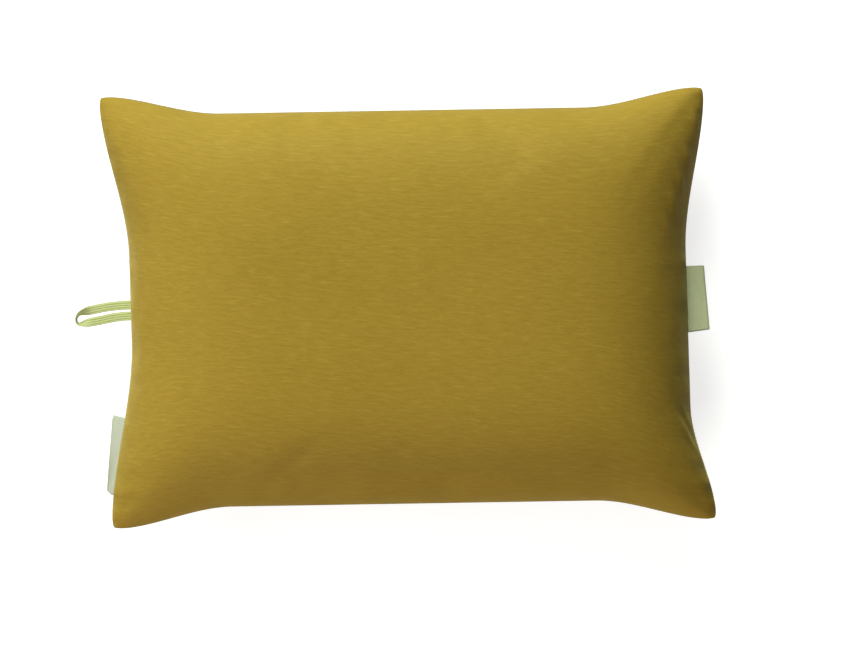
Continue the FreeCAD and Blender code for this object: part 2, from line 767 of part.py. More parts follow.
def make_valve_plug():
    body = new_body("valve_plug")
    profile = [
        ("plug_bore", "plug_foot"),
        ("plug_foot_radius", "plug_foot"),
        ("plug_top_radius", "collar_top"),
        ("plug_top_radius", "plug_lip_low"),
        ("plug_lip_radius", "plug_lip_low"),
        ("plug_lip_radius", "plug_lip_top"),
        ("plug_bore", "plug_lip_top"),
    ]
    spin(body, "ring", outline(body, "ring_profile", "XZ_Plane", profile))
    reach = "plug_bore + 0.4"
    half = "spoke_width / 2"
    cross = [
        ("0 - " + reach, "0 - " + half), ("0 - " + half, "0 - " + half),
        ("0 - " + half, "0 - " + reach), (half, "0 - " + reach),
        (half, "0 - " + half), (reach, "0 - " + half),
        (reach, half), (half, half),
        (half, reach), ("0 - " + half, reach),
        ("0 - " + half, half), ("0 - " + reach, half),
    ]
    spokes = raised_sketch(body, "spokes", "plug_foot", cross)
    pad(body, "spokes_pad", spokes, "spoke_thick")
    hub = [
        ("0", "plug_foot"),
        ("hub_radius", "plug_foot"),
        ("hub_radius", "plug_foot + spoke_thick"),
        ("0", "plug_foot + spoke_thick"),
    ]
    spin(body, "hub", outline(body, "hub_profile", "XZ_Plane", hub))
    half_strap = "strap_width / 2"
    strap = rectangle("0 - plug_hinge", "0 - plug_bore - 1", "0 - " + half_strap,
                      half_strap)
    tab = raised_sketch(body, "strap", "plug_lip_low", strap)
    pad(body, "strap_pad", tab, "plug_lip_top - plug_lip_low")
    ledge = rectangle("plug_bore + 1", "cap_hinge + strap_gap + stub",
                      "0 - " + half_strap, half_strap)
    shelf = raised_sketch(body, "ledge", "plug_lip_low", ledge)
    pad(body, "ledge_pad", shelf, "plug_lip_top - plug_lip_low")
    post = rectangle("cap_hinge + strap_gap", "cap_hinge + strap_gap + stub",
                     "0 - " + half_strap, half_strap)
    stub = raised_sketch(body, "stub", "plug_lip_low", post)
    pad(body, "stub_pad", stub, "cap_top - plug_lip_low - 0.1")
    cut = body.newObject("PartDesign::Groove", "stem_hole")
    hole = [
        ("0", "plug_foot - 1"),
        ("hub_bore", "plug_foot - 1"),
        ("hub_bore", "plug_foot + spoke_thick + 1"),
        ("0", "plug_foot + spoke_thick + 1"),
    ]
    cut.Profile = outline(body, "stem_hole_profile", "XZ_Plane", hole)
    cut.ReferenceAxis = (cut.Profile[0], ["V_Axis"])
    cut.Angle = 360
    body.Tip = cut
    doc.recompute()
    body.Placement = VALVE_FRAME
    keep(body, "valve_plug")


def make_valve_membrane():
    body = new_body("valve_membrane")
    low = "membrane_top - membrane_thick"
    profile = [
        ("0", low),
        ("membrane_radius", low),
        ("membrane_radius", "membrane_top"),
        ("stem_radius", "membrane_top"),
        ("stem_radius", "stem_bulb_low"),
        ("stem_bulb_radius", "stem_bulb_low"),
        ("stem_radius", "stem_bulb_top"),
        ("0", "stem_bulb_top"),
    ]
    spin(body, "flap", outline(body, "flap_profile", "XZ_Plane", profile))
    body.Placement = VALVE_FRAME
    keep(body, "valve_membrane")


def make_valve_cap():
    body = new_body("valve_cap")
    profile = [
        ("0", "cap_low"),
        ("cap_skirt_foot - cap_skirt_wall", "cap_low"),
        ("cap_skirt_foot - cap_skirt_wall", "cap_foot"),
        ("cap_skirt_foot", "cap_foot"),
        ("cap_skirt_top", "cap_low"),
        ("cap_radius", "cap_low"),
        ("cap_radius", "cap_top - 0.4"),
        ("cap_radius - 0.4", "cap_top"),
        ("0", "cap_top"),
    ]
    spin(body, "disc", outline(body, "disc_profile", "XZ_Plane", profile))
    half = "strap_width / 2"
    strap = rectangle("cap_radius - 1", "cap_hinge", "0 - " + half, half)
    tab = raised_sketch(body, "strap", "cap_low", strap)
    pad(body, "strap_pad", tab, "cap_top - cap_low")
    grip = rectangle("0 - cap_radius - cap_grip", "0 - cap_radius + 1", "0 - 3", "3")
    finger = raised_sketch(body, "grip", "cap_low", grip)
    pad(body, "grip_pad", finger, "cap_top - cap_low - 0.2")
    body.Placement = VALVE_FRAME
    keep(body, "valve_cap")


# ---------------------------------------------------------------- trim


def loop_path(share):
    """Centre line of the ribbon: out along one leg, round the end and back."""
    reach = size("loop_reach")
    turn = size("loop_spread")
    start = seam_x(size("loop_middle"), -1) - size("loop_clear")
    leg = reach - turn - size("loop_clear")
    bend = math.pi * turn
    run = share * (2 * leg + bend)
    if run < leg:
        out, side = run, turn
    elif run < leg + bend:
        angle = (run - leg) / turn
        out = leg + turn * math.sin(angle)
        side = turn * math.cos(angle)
    else:
        out, side = 2 * leg + bend - run, -turn
    droop = size("loop_droop") * (out / (leg + turn)) ** 2
    return Vector(start - out, size("loop_middle") + side - droop,
                  size("seam_height"))


def loop_section(share):
    """Centre, width direction and face normal of the ribbon."""
    here = loop_path(share)
    ahead = loop_path(min(1.0, share + STEP))
    behind = loop_path(max(0.0, share - STEP))
    run = ahead - behind
    run.normalize()
    outward = Vector(0, 0, 1).cross(run)
    outward = outward * -1.0 if outward.dot(Vector(0, 1, 0)) * (0.5 - share) < 0 \
        else outward
    if abs(share - 0.5) < 0.05 and outward.x > 0:
        outward = outward * -1.0
    from_seam = 1.0 - 2.0 * abs(share - 0.5)
    twist = math.pi / 2 * ramp((from_seam - LOOP_FLAT) / (1.0 - LOOP_FLAT))
    width = outward * -math.cos(twist) + Vector(0, 0, 1) * math.sin(twist)
    normal = run.cross(width)
    return here, width, normal


def ribbon_solid(sections, wide, thick):
    """Closed ribbon through a run of centre, width, normal triples."""
    faces = []
    for lift in (0.5, -0.5):
        rows = []
        for here, width, normal in sections:
            middle = here + normal * (lift * thick)
            row = [middle + width * (wide * step) for step in (-0.5, -0.17, 0.17, 0.5)]
            rows.append(row)
        surface = Part.BSplineSurface()
        surface.interpolate(rows)
        faces.append(surface.toShape())
    walls = []
    for first in faces[0].Edges:
        second = min(
            faces[1].Edges,
            key=lambda e: e.CenterOfMass.distanceToPoint(first.CenterOfMass),
        )
        walls.append(Part.makeRuledSurface(first, second))
    shell = Part.Shell(faces + walls)
    shell.sewShape()
    solid = Part.Solid(shell)
    if solid.Volume < 0:
        solid.reverse()
    return solid


def make_loop():
    shares = [i / (LOOP_STEPS - 1.0) for i in range(LOOP_STEPS)]
    sections = [loop_section(share) for share in shares]
    loop = ribbon_solid(sections, size("ribbon_width"), size("ribbon"))
    keep(feature("hang_loop", loop), "hang_loop")

    tails = []
    edge = seam_x(size("loop_middle"), -1) + 0.1
    for side in (-1, 1):
        middle = size("loop_middle") + side * (size("loop_spread") + 0.05)
        corner = Vector(edge, middle - size("ribbon_width") / 2,
                        size("seam_height") - size("ribbon") / 2)
        tail = Part.makeBox(size("loop_tail") - 3.2, size("ribbon_width"),
                            size("ribbon"), corner)
        tails.append(tail)
    pair = Part.makeCompound(tails)
    keep(feature("hang_loop_sewn_ends", pair), "hang_loop_sewn_ends")


def seam_frame(v, side):
    """Frame in the seam: X points out of the pillow, Y along the side."""
    here = plan(side, v, 0.0)
    ahead = plan(side, v + STEP, 0.0)
    along = Vector(ahead[0] - here[0], ahead[1] - here[1], 0)
    along.normalize()
    along = along * side
    out = along.cross(Vector(0, 0, 1))
    place = Vector(here[0], here[1], size("seam_height"))
    return Placement(place, Rotation(out, along, Vector(0, 0, 1), "XYZ"))


def make_label(label, side):
    """Folded label; its sheet names start with its own name."""
    clear, long = (label + end for end in ("_clear", "_length"))
    first, second = (label + end for end in ("_bottom", "_top"))
    if side < 0:
        first, second = second, first
    body = new_body(label)
    half = long + " / 2"
    shape = [
        (clear, "0 - " + half),
        (clear + " + " + first, "0 - " + half),
        (clear + " + " + second, half),
        (clear, half),
    ]
    sketch = raised_sketch(body, "face", "0 - label / 2", shape)
    plate = pad(body, "face_pad", sketch, "label")
    free = size(clear) + 0.5 * min(size(first), size(second))
    corners = []
    for number, edge in enumerate(plate.Shape.Edges, start=1):
        upright = abs(edge.tangentAt(edge.FirstParameter).z) > 0.99
        if upright and edge.CenterOfMass.x > free:
            corners.append("Edge%d" % number)
    rounding = body.newObject("PartDesign::Fillet", "free_corners")
    rounding.Base = (plate, corners)
    bind(rounding, "Radius", "label_round")
    body.Tip = rounding
    doc.recompute()
    body.Placement = seam_frame(size(label + "_v"), side)
    keep(body, label)


def main():
    for step in (make_cover, make_seam, make_foam, make_air_cell, make_baffles,
                 make_zip, make_slider, make_pull, make_valve_binding,
                 make_valve_base, make_valve_plug, make_valve_membrane,
                 make_valve_cap, make_loop):
        step()
    make_label("left_label", -1)
    make_label("right_label", 1)
    doc.recompute()
    report_and_write()


def report_and_write():
    for item in doc.Objects:
        states = set(item.State)
        if states & {"Invalid", "Error"}:
            raise SystemExit("%s is %s" % (item.Label, sorted(states)))
    os.makedirs("parts", exist_ok=True)
    for item in PARTS:
        shape = item.Shape
        if shape.isNull() or not shape.isValid() or not shape.Solids:
            raise SystemExit("%s has no valid solid" % item.Label)
        shape.exportStep("parts/%s.step" % item.Label)
        print(item.Label, len(shape.Solids), round(shape.Volume, 2))


main()
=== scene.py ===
import json
import math

import bmesh
import bpy
import numpy as np
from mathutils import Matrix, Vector

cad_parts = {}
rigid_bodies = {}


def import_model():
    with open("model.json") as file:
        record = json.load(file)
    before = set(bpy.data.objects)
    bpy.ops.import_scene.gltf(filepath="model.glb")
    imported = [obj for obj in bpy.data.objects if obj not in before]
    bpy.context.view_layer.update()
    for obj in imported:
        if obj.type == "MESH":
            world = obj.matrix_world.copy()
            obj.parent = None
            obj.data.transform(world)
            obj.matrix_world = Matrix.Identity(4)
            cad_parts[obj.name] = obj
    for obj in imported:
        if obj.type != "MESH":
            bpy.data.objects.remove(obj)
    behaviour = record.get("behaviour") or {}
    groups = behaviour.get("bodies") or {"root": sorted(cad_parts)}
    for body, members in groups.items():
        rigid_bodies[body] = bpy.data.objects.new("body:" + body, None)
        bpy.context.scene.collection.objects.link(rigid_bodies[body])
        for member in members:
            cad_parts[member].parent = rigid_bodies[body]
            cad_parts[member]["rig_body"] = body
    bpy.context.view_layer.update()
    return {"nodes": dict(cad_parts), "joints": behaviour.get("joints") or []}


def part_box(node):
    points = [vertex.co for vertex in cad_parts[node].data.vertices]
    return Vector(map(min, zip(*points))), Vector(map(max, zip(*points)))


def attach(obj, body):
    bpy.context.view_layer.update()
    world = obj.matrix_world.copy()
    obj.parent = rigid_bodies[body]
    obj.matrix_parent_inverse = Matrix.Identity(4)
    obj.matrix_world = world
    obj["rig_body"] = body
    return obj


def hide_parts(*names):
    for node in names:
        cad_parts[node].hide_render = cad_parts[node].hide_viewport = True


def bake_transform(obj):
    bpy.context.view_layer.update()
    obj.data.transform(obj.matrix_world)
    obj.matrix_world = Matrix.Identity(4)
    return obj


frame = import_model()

MM = 0.001

# -------- the cover's form

# how the filled cover's edges draw in between its corners, in metres
HALF_LENGTH = 190.5 * MM
HALF_WIDTH = 136.5 * MM
PULL_TOP = 12.0 * MM
PULL_BOTTOM = 13.2 * MM
PULL_LEFT = 16.0 * MM
PULL_RIGHT = 14.4 * MM
FLARE_LONG = 76.0 * MM
FLARE_LEFT = {"top": 101.0 * MM, "bottom": 118.0 * MM}
FLARE_RIGHT = {"top": 103.0 * MM, "bottom": 72.0 * MM}
LEAN_X = -0.9 * MM
LEAN_Y = -1.5 * MM
CORNER_BLUNT = 1.3 * MM
CORNER_POWER = 40.0

# its section: a crown that leaves the seam steeply and flattens towards the middle
POWER_LONG = 5.0
POWER_SHORT = 4.0
EDGE_SINE = math.sin(math.radians(80.0))
SEAM_GAP = 0.3 * MM
FABRIC = 1.0 * MM

JOINTS = {joint["name"]: joint for joint in frame["joints"]}
LOOP_HINGE = Vector(JOINTS["hang_loop_flop"]["pos_m"])
SEAM = LOOP_HINGE.z
FRONT, BACK = 1, -1
RISE = {
    FRONT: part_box("cover_front_panel")[1].z - SEAM - SEAM_GAP / 2,
    BACK: 37.5 * MM,
}
FLOOR_SOFTNESS = 0.8 * MM  # how gradually the back flattens where it rests
LEAST_HEIGHT = 0.05 * MM  # of the cloth over the floor

# the zip and the valve on the back, as shares of the half width and half length
ZIP_V = -0.80
SLOT_HALF = 84.0 * MM
SLOT_WIDE = 9.2 * MM
SLIT = 0.4 * MM
VALVE_U = -0.78
VALVE_V = 0.62
PORT_RADIUS = 18.2 * MM

CELL = 2.0 * MM  # cloth between neighbouring points of the finished meshes
STEP = 1e-4


def ramp(share):
    share = np.clip(share, 0.0, 1.0)
    return share * share * (3.0 - 2.0 * share)


def draw_in(u, v):
    """How far a point draws in along X; the two short sides differ."""
    reach = (1 - np.abs(v)) * HALF_WIDTH
    left = PULL_LEFT * ramp(reach / np.where(v > 0, FLARE_LEFT["top"], FLARE_LEFT["bottom"]))
    right = PULL_RIGHT * ramp(reach / np.where(v > 0, FLARE_RIGHT["top"], FLARE_RIGHT["bottom"]))
    share = ramp(0.5 + 0.5 * u)
    return (1 - share) * left + share * right


def plan(u, v):
    """Where a point of the cut lies in plan; u and v run from -1 to 1."""
    along = ramp((1 - np.abs(u)) * HALF_LENGTH / FLARE_LONG)
    both = 0.5 * (PULL_TOP + PULL_BOTTOM)
    skew = 0.5 * (PULL_TOP - PULL_BOTTOM)
    blunt = CORNER_BLUNT * np.abs(u * v) ** CORNER_POWER
    x = u * (HALF_LENGTH - draw_in(u, v)) + LEAN_X * v
    y = v * HALF_WIDTH - along * (both * v + skew * v * v) + LEAN_Y * u
    return x - np.copysign(blunt, u), y - np.copysign(blunt, v)


def arch(share, power):
    """Height of the crown across the face: 1 in the middle, 0 at the seam."""
    end = math.sqrt(1 - EDGE_SINE**power)
    inside = np.clip(1 - np.abs(share * EDGE_SINE) ** power, 0.0, 1.0)
    return (np.sqrt(inside) - end) / (1 - end)


def form(u, v, side):
    """Points of the cover's outer face."""
    u, v = np.broadcast_arrays(np.asarray(u, float), np.asarray(v, float))
    x, y = plan(u, v)
    rise = RISE[side] * arch(u, POWER_LONG) * arch(v, POWER_SHORT)
    z = SEAM + side * (SEAM_GAP / 2 + rise)
    z = 0.5 * (z + np.sqrt(z * z + FLOOR_SOFTNESS**2))
    return np.stack([x, y, z], axis=-1)


def form_normal(u, v, side):
    u = np.clip(u, -1 + STEP, 1 - STEP)
    v = np.clip(v, -1 + STEP, 1 - STEP)
    along = form(u + STEP, v, side) - form(u - STEP, v, side)
    across = form(u, v + STEP, side) - form(u, v - STEP, side)
    normal = side * np.cross(along, across)
    return normal / np.linalg.norm(normal, axis=-1, keepdims=True)


def cloth_run(power, half):
    """Shares of the half width against the cloth used up to them."""
    share = np.sin(np.linspace(0, math.pi / 2, 600))
    height = RISE[FRONT] * arch(share, power)
    run = np.hypot(np.diff(share * half), np.diff(height))
    length = np.concatenate([[0.0], np.cumsum(run)])
    return share, length


SHARE_U, LENGTH_U = cloth_run(POWER_LONG, HALF_LENGTH - 0.5 * (PULL_LEFT + PULL_RIGHT))
SHARE_V, LENGTH_V = cloth_run(POWER_SHORT, HALF_WIDTH - 0.5 * (PULL_TOP + PULL_BOTTOM))
CLOTH_X = LENGTH_U[-1]  # half the cloth from seam to seam, along and across
CLOTH_Y = LENGTH_V[-1]


def to_u(a):
    """Share of the half length at a metres of cloth from the middle."""
    return np.sign(a) * np.interp(np.abs(a), LENGTH_U, SHARE_U)


def to_v(b):
    return np.sign(b) * np.interp(np.abs(b), LENGTH_V, SHARE_V)


def from_u(u):
    return np.sign(u) * np.interp(np.abs(u), SHARE_U, LENGTH_U)


def from_v(v):
    return np.sign(v) * np.interp(np.abs(v), SHARE_V, LENGTH_V)


# -------- cloth simulation

SIM_COLUMNS = 97
SIM_ROWS = 71
SIM_FRAMES = 32
SIM_PRESSURE = 4.0
SIM_START_RISE = 6 * MM
CREASE_ROUNDS = 40  # smoothing that takes the creases out of the blown-up form
CREASE_GAIN = 0.3
CREASE_LIMIT = 2.0 * MM
CREASE_START = 8 * MM  # creases fade in over this distance from the seam


def smooth(grid, axis, rounds):
    out = np.moveaxis(grid, axis, 0).copy()
    for _ in range(rounds):
        out[1:-1] = (out[:-2] + 2 * out[1:-1] + out[2:]) / 4
    return np.moveaxis(out, 0, axis)


def sewn_sheets():
    """Two flat-cut sheets that share their edge, as one mesh, and each sheet's points."""
    verts, faces, sheets = [], [], {}
    for side in (FRONT, BACK):
        number = np.zeros((SIM_COLUMNS, SIM_ROWS), int)
        for i in range(SIM_COLUMNS):
            for j in range(SIM_ROWS):
                s = 2 * i / (SIM_COLUMNS - 1) - 1
                t = 2 * j / (SIM_ROWS - 1) - 1
                if side == BACK and max(abs(s), abs(t)) == 1:
                    number[i, j] = sheets[FRONT][i, j]
                    continue
                number[i, j] = len(verts)
                lift = side * SIM_START_RISE * (1 - s**4) * (1 - t**4)
                verts.append((s * HALF_LENGTH, t * HALF_WIDTH, lift))
        sheets[side] = number
        for i in range(SIM_COLUMNS - 1):
            for j in range(SIM_ROWS - 1):
                quad = [number[i, j], number[i + 1, j], number[i + 1, j + 1], number[i, j + 1]]
                faces.append([int(n) for n in (quad if side == FRONT else quad[::-1])])
    return verts, faces, sheets


def inflate():
    """Blows up the sewn sheets; returns each sheet's points as a grid."""
    verts, faces, sheets = sewn_sheets()
    mesh = bpy.data.meshes.new("sewn_sheets")
    mesh.from_pydata(verts, [], faces)
    bag = bpy.data.objects.new("sewn_sheets", mesh)
    scene = bpy.context.scene
    scene.collection.objects.link(bag)
    cloth = bag.modifiers.new("Cloth", "CLOTH")
    settings = cloth.settings
    settings.quality = 8
    settings.mass = 0.3
    settings.tension_stiffness = 15
    settings.compression_stiffness = 15
    settings.shear_stiffness = 6
    settings.bending_stiffness = 0.05
    settings.air_damping = 2
    settings.use_pressure = True
    settings.uniform_pressure_force = SIM_PRESSURE
    settings.effector_weights.gravity = 0
    cloth.collision_settings.use_self_collision = False
    cloth.point_cache.frame_start = 1
    cloth.point_cache.frame_end = SIM_FRAMES
    scene.frame_start, scene.frame_end = 1, SIM_FRAMES
    for number in range(1, SIM_FRAMES + 1):
        scene.frame_set(number)
    shape = bag.evaluated_get(bpy.context.evaluated_depsgraph_get()).data
    points = np.empty(len(verts) * 3)
    shape.vertices.foreach_get("co", points)
    points = points.reshape(-1, 3)
    bpy.data.objects.remove(bag)
    bpy.data.meshes.remove(mesh)
    scene.frame_set(1)
    return {side: points[sheets[side]] for side in sheets}


def creases(sheet, side):
    """How far the blown-up cloth stands off its own smooth form, as a grid."""
    along = np.gradient(sheet, axis=0)
    across = np.gradient(sheet, axis=1)
    normal = side * np.cross(along, across)
    normal /= np.linalg.norm(normal, axis=-1, keepdims=True)
    s = np.linspace(-1, 1, SIM_COLUMNS)[:, None]
    t = np.linspace(-1, 1, SIM_ROWS)[None, :]
    near_long = t**4 / (s**4 + t**4 + 1e-6)
    by_long = np.sum((sheet - smooth(sheet, 0, CREASE_ROUNDS)) * normal, axis=-1)
    by_short = np.sum((sheet - smooth(sheet, 1, CREASE_ROUNDS)) * normal, axis=-1)
    found = near_long * by_long + (1 - near_long) * by_short
    inset = np.minimum((1 - np.abs(s)) * CLOTH_X, (1 - np.abs(t)) * CLOTH_Y)
    found = CREASE_GAIN * found * ramp(inset / CREASE_START)
    return np.clip(found, -CREASE_LIMIT, CREASE_LIMIT)


def fine(grid):
    """The crease grid at the finished meshes' spacing."""
    columns = int(2 * CLOTH_X / CELL)
    rows = int(2 * CLOTH_Y / CELL)
    s = np.linspace(0, SIM_COLUMNS - 1, columns)
    t = np.linspace(0, SIM_ROWS - 1, rows)
    wide = np.stack([np.interp(s, range(SIM_COLUMNS), grid[:, j]) for j in range(SIM_ROWS)], 1)
    full = np.stack([np.interp(t, range(SIM_ROWS), wide[i]) for i in range(columns)], 0)
    return smooth(smooth(full, 0, 3), 1, 3)


blown = inflate()
CREASES = {side: fine(creases(blown[side], side)) for side in (FRONT, BACK)}


def crease_at(a, b, side):
    """Crease height at a, b metres of cloth from the middle."""
    grid = CREASES[side]
    x = np.clip((a / CLOTH_X + 1) / 2, 0, 1) * (grid.shape[0] - 1)
    y = np.clip((b / CLOTH_Y + 1) / 2, 0, 1) * (grid.shape[1] - 1)
    i = np.minimum(x.astype(int), grid.shape[0] - 2)
    j = np.minimum(y.astype(int), grid.shape[1] - 2)
    p, q = x - i, y - j
    low = grid[i, j] * (1 - p) + grid[i + 1, j] * p
    high = grid[i, j + 1] * (1 - p) + grid[i + 1, j + 1] * p
    return low * (1 - q) + high * q


# -------- puckers and ear folds

WAVE_SEED = 7


def waves(place, seed, pitch):
    """Smooth irregular wave along a line, about 1 high."""
    rng = np.random.default_rng(seed)
    total = np.zeros_like(place)
    for _ in range(7):
        length = pitch * rng.uniform(0.6, 1.7)
        total += np.sin(place / length * 2 * math.pi + rng.uniform(0, 6.3)) * rng.uniform(0.3, 1)
    return total / 2.2


PUCKER_LONG = {"height": 0.25 * MM, "pitch": 15 * MM, "reach": 7 * MM}
PUCKER_SHORT = {"height": 0.45 * MM, "pitch": 12 * MM, "reach": 17 * MM}
PUCKER_START = 3 * MM


def puckers(a, b, side):
    """Small gathers that the seam's stitching draws into the cloth beside it."""
    to_long = CLOTH_Y - np.abs(b)
    to_short = CLOTH_X - np.abs(a)
    by_long = waves(a, WAVE_SEED + int(side) * 3, PUCKER_LONG["pitch"])
    by_short = waves(b, WAVE_SEED + 20 + int(side), PUCKER_SHORT["pitch"])
    by_long = by_long * np.exp(-to_long / PUCKER_LONG["reach"])
    by_short = by_short * np.exp(-to_short / PUCKER_SHORT["reach"])
    patch_long = 0.35 + 0.65 * ramp(0.5 + 0.5 * waves(a, 31, 120 * MM))
    patch_short = 0.5 + 0.5 * ramp(0.5 + 0.5 * waves(b, 47, 90 * MM))
    long_height = PUCKER_LONG["height"] * by_long * patch_long
    short_height = PUCKER_SHORT["height"] * by_short * patch_short
    inset = np.minimum(to_long, to_short)
    return (long_height + short_height) * ramp(inset / PUCKER_START)


# short folds beside the short seams: place as shares of the half cloth, slant in
# degrees, then length, breadth and height in millimetres
FOLDS = (
    (0.870, 0.30, -56, 15, 4.4, 0.80),
    (0.885, 0.40, -54, 17, 4.6, 1.10),
    (0.905, 0.49, -52, 16, 4.4, 1.05),
    (0.915, 0.60, -50, 16, 4.4, 0.90),
    (0.935, 0.76, -60, 15, 4.4, 0.80),
    (0.915, -0.51, -52, 34, 5.4, 1.20),
    (0.945, -0.45, -56, 15, 4.2, 0.80),
    (-0.905, 0.72, 72, 26, 6.0, 0.60),
    (-0.880, 0.44, 60, 14, 3.8, 0.35),
    (-0.890, -0.60, -58, 16, 4.0, 0.40),
)


def folds(a, b):
    """Height of the slanting folds that the corners' pull leaves beside the short seams."""
    height = np.zeros(a.shape)
    for along, across, slant, length, breadth, rise in FOLDS:
        x, y = a - along * CLOTH_X, b - across * CLOTH_Y
        turn = math.radians(slant)
        run = (x * math.cos(turn) + y * math.sin(turn)) / (length * MM)
        aside = (y * math.cos(turn) - x * math.sin(turn)) / (breadth * MM)
        height += rise * MM * np.exp(-((2 * run) ** 2) - (2 * aside) ** 2)
    inset = np.minimum(CLOTH_X - np.abs(a), CLOTH_Y - np.abs(b))
    return height * ramp(inset / PUCKER_START)


def surface(a, b, side):
    """Finished points and normals of the cover at a, b metres of cloth from the middle."""
    a, b = np.broadcast_arrays(np.asarray(a, float), np.asarray(b, float))
    u, v = to_u(a), to_v(b)
    normal = form_normal(u, v, side)
    height = crease_at(a, b, side) + puckers(a, b, side) + folds(a, b)
    points = form(u, v, side) + normal * height[..., None]
    points[..., 2] = np.maximum(points[..., 2], LEAST_HEIGHT)
    return points, normal


# -------- mesh helpers


def add_piece(name, verts, faces, body, material, smooth_shading=True):
    mesh = bpy.data.meshes.new(name)
    mesh.from_pydata([tuple(p) for p in verts], [], faces)
    mesh.update()
    if smooth_shading:
        mesh.shade_smooth()
    piece = bpy.data.objects.new(name, mesh)
    bpy.context.scene.collection.objects.link(piece)
    mesh.materials.append(material)
    if body:
        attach(piece, body)
    return piece


def grid_faces(number):
    """Quads of a grid of point numbers; -1 marks a point that is left out."""
    quads = []
    for i in range(number.shape[0] - 1):
        for j in range(number.shape[1] - 1):
            quad = [int(n) for n in (number[i, j], number[i + 1, j],
                                     number[i + 1, j + 1], number[i, j + 1])]
            if min(quad) >= 0:
                quads.append(quad)
    return quads


def closed_cloth(name, outer, inner, faces, cloth_at, material):
    """A sheet of cloth with two faces and its edges closed."""
    count = len(outer)
    sides = {}
    for face in faces:
        for first, second in zip(face, face[1:] + face[:1]):
            sides[first, second] = sides.get((first, second), 0) + 1
    rim = [edge for edge in sides if (edge[1], edge[0]) not in sides]
    back = [[n + count for n in reversed(face)] for face in faces]
    walls = [[second, first, first + count, second + count] for first, second in rim]
    piece = add_piece(name, np.concatenate([outer, inner]), faces + back + walls,
                      "pillow", material)
    label_cloth(piece, np.concatenate([cloth_at, cloth_at]))
    return piece


def label_cloth(piece, cloth_at, edge=None):
    """Stores where each point lies in the flat cloth, and how far from the cloth's edge."""
    mesh = piece.data
    uv = mesh.uv_layers.new(name="cloth")
    corner = np.empty(len(mesh.loops), int)
    mesh.loops.foreach_get("vertex_index", corner)
    uv.data.foreach_set("uv", cloth_at[corner].astype(np.float32).ravel())
    if edge is None:
        edge = np.minimum(CLOTH_X - np.abs(cloth_at[:, 0]), CLOTH_Y - np.abs(cloth_at[:, 1]))
    store = mesh.attributes.new("edge", "FLOAT", "POINT")
    store.data.foreach_set("value", edge.astype(np.float32))


# how the cloth turns in at the seam: distance inwards and height left above the seam
TURN_IN = ((0.25 * MM, 0.55), (0.7 * MM, 0.2), (1.4 * MM, 0.1))
FOLD_ROUND = 0.25 * MM  # how far a folded edge rounds back
SEAM_LINE = 0.02 * MM  # how near the two sheets' insides come at the seam
SHEET_NAMES = {
    "cover_front_panel": "front_cloth",
    "cover_back_panel": "back_cloth",
    "cover_back_flap": "back_flap_cloth",
}


def cover_sheet(node, a, b, side, tucks, material, hole=None):
    """Cloth for one of the cover's panels, over a grid of cloth places.

    tucks says how the grid's left, right, bottom and top edges end: in the edge
    seam ("seam") or folded under ("fold").
    """
    points, normals = surface(a, b, side)
    cloth_at = np.stack([a, b], axis=-1)
    for way, kind in enumerate(tucks):
        axis = way // 2
        at_end = way % 2 == 1
        points, normals, cloth_at = turn_under(points, normals, cloth_at, axis, at_end, kind)
    number = np.arange(points[..., 0].size).reshape(points.shape[:2])
    outer = points.reshape(-1, 3)
    normal = normals.reshape(-1, 3)
    flat = cloth_at.reshape(-1, 2)
    faces = grid_faces(number)
    if hole is not None:
        outer, normal, flat, faces = hole(outer, normal, flat, faces, number, side)
    if side == BACK:
        faces = [face[::-1] for face in faces]
    inner = outer - normal * FABRIC
    limit = SEAM + side * SEAM_LINE
    keep_off = np.maximum if side == FRONT else np.minimum
    inner[:, 2] = keep_off(inner[:, 2], limit)
    piece = closed_cloth(SHEET_NAMES[node], outer, inner, faces, flat, material)
    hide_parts(node)


def turn_under(points, normals, cloth_at, axis, at_end, kind):
    """Adds the rows by which one edge of a sheet turns in."""
    order = np.moveaxis(points, axis, 0)
    facing = np.moveaxis(normals, axis, 0)
    flat = np.moveaxis(cloth_at, axis, 0)
    if at_end:
        order, facing, flat = order[::-1], facing[::-1], flat[::-1]
    edge = order[0]
    if kind == "seam":
        inwards = np.zeros_like(edge)
        inwards[:, axis] = np.sign(-edge[:, axis])
    else:
        inwards = order[1] - order[0]
        inwards = inwards / np.linalg.norm(inwards, axis=-1, keepdims=True)
    for reach, height in TURN_IN:
        if kind == "seam":
            row = edge + inwards * reach
            row[:, 2] = SEAM + (edge[:, 2] - SEAM) * height
        else:
            row = edge - facing[0] * reach + inwards * (1 - height) * FOLD_ROUND
        order = np.concatenate([row[None], order])
        facing = np.concatenate([facing[:1], facing])
        flat = np.concatenate([flat[:1], flat])
    if at_end:
        order, facing, flat = order[::-1], facing[::-1], flat[::-1]
    return (np.moveaxis(order, 0, axis), np.moveaxis(facing, 0, axis), np.moveaxis(flat, 0, axis))


# -------- cover pieces


def stations(half, extra=()):
    even = np.linspace(-half, half, int(2 * half / CELL) + 1)
    return np.unique(np.concatenate([even, np.asarray(extra, float)]))


def zip_line(a):
    """Cloth place across the pillow of the zip's centre line, which is straight in plan."""
    u = to_u(a)
    pull = 0.5 * (PULL_TOP + PULL_BOTTOM)
    return from_v(ZIP_V - LEAN_Y * u / (HALF_WIDTH - pull))


def zip_place(run):
    """Cloth place along the pillow of a point of the zip, from its middle."""
    return from_u(run / (HALF_LENGTH - draw_in(run / HALF_LENGTH, np.full_like(run, ZIP_V))))


def slot_half(a):
    """Half the opening between the two back panels, with round ends to the zip's slot."""
    radius = SLOT_WIDE / 2
    run = plan(to_u(a), np.full_like(a, ZIP_V))[0] - LEAN_X * ZIP_V
    past = np.clip((np.abs(run) - (SLOT_HALF - radius)) / radius, 0, 1)
    return np.maximum(radius * np.sqrt(1 - past**2), SLIT / 2)


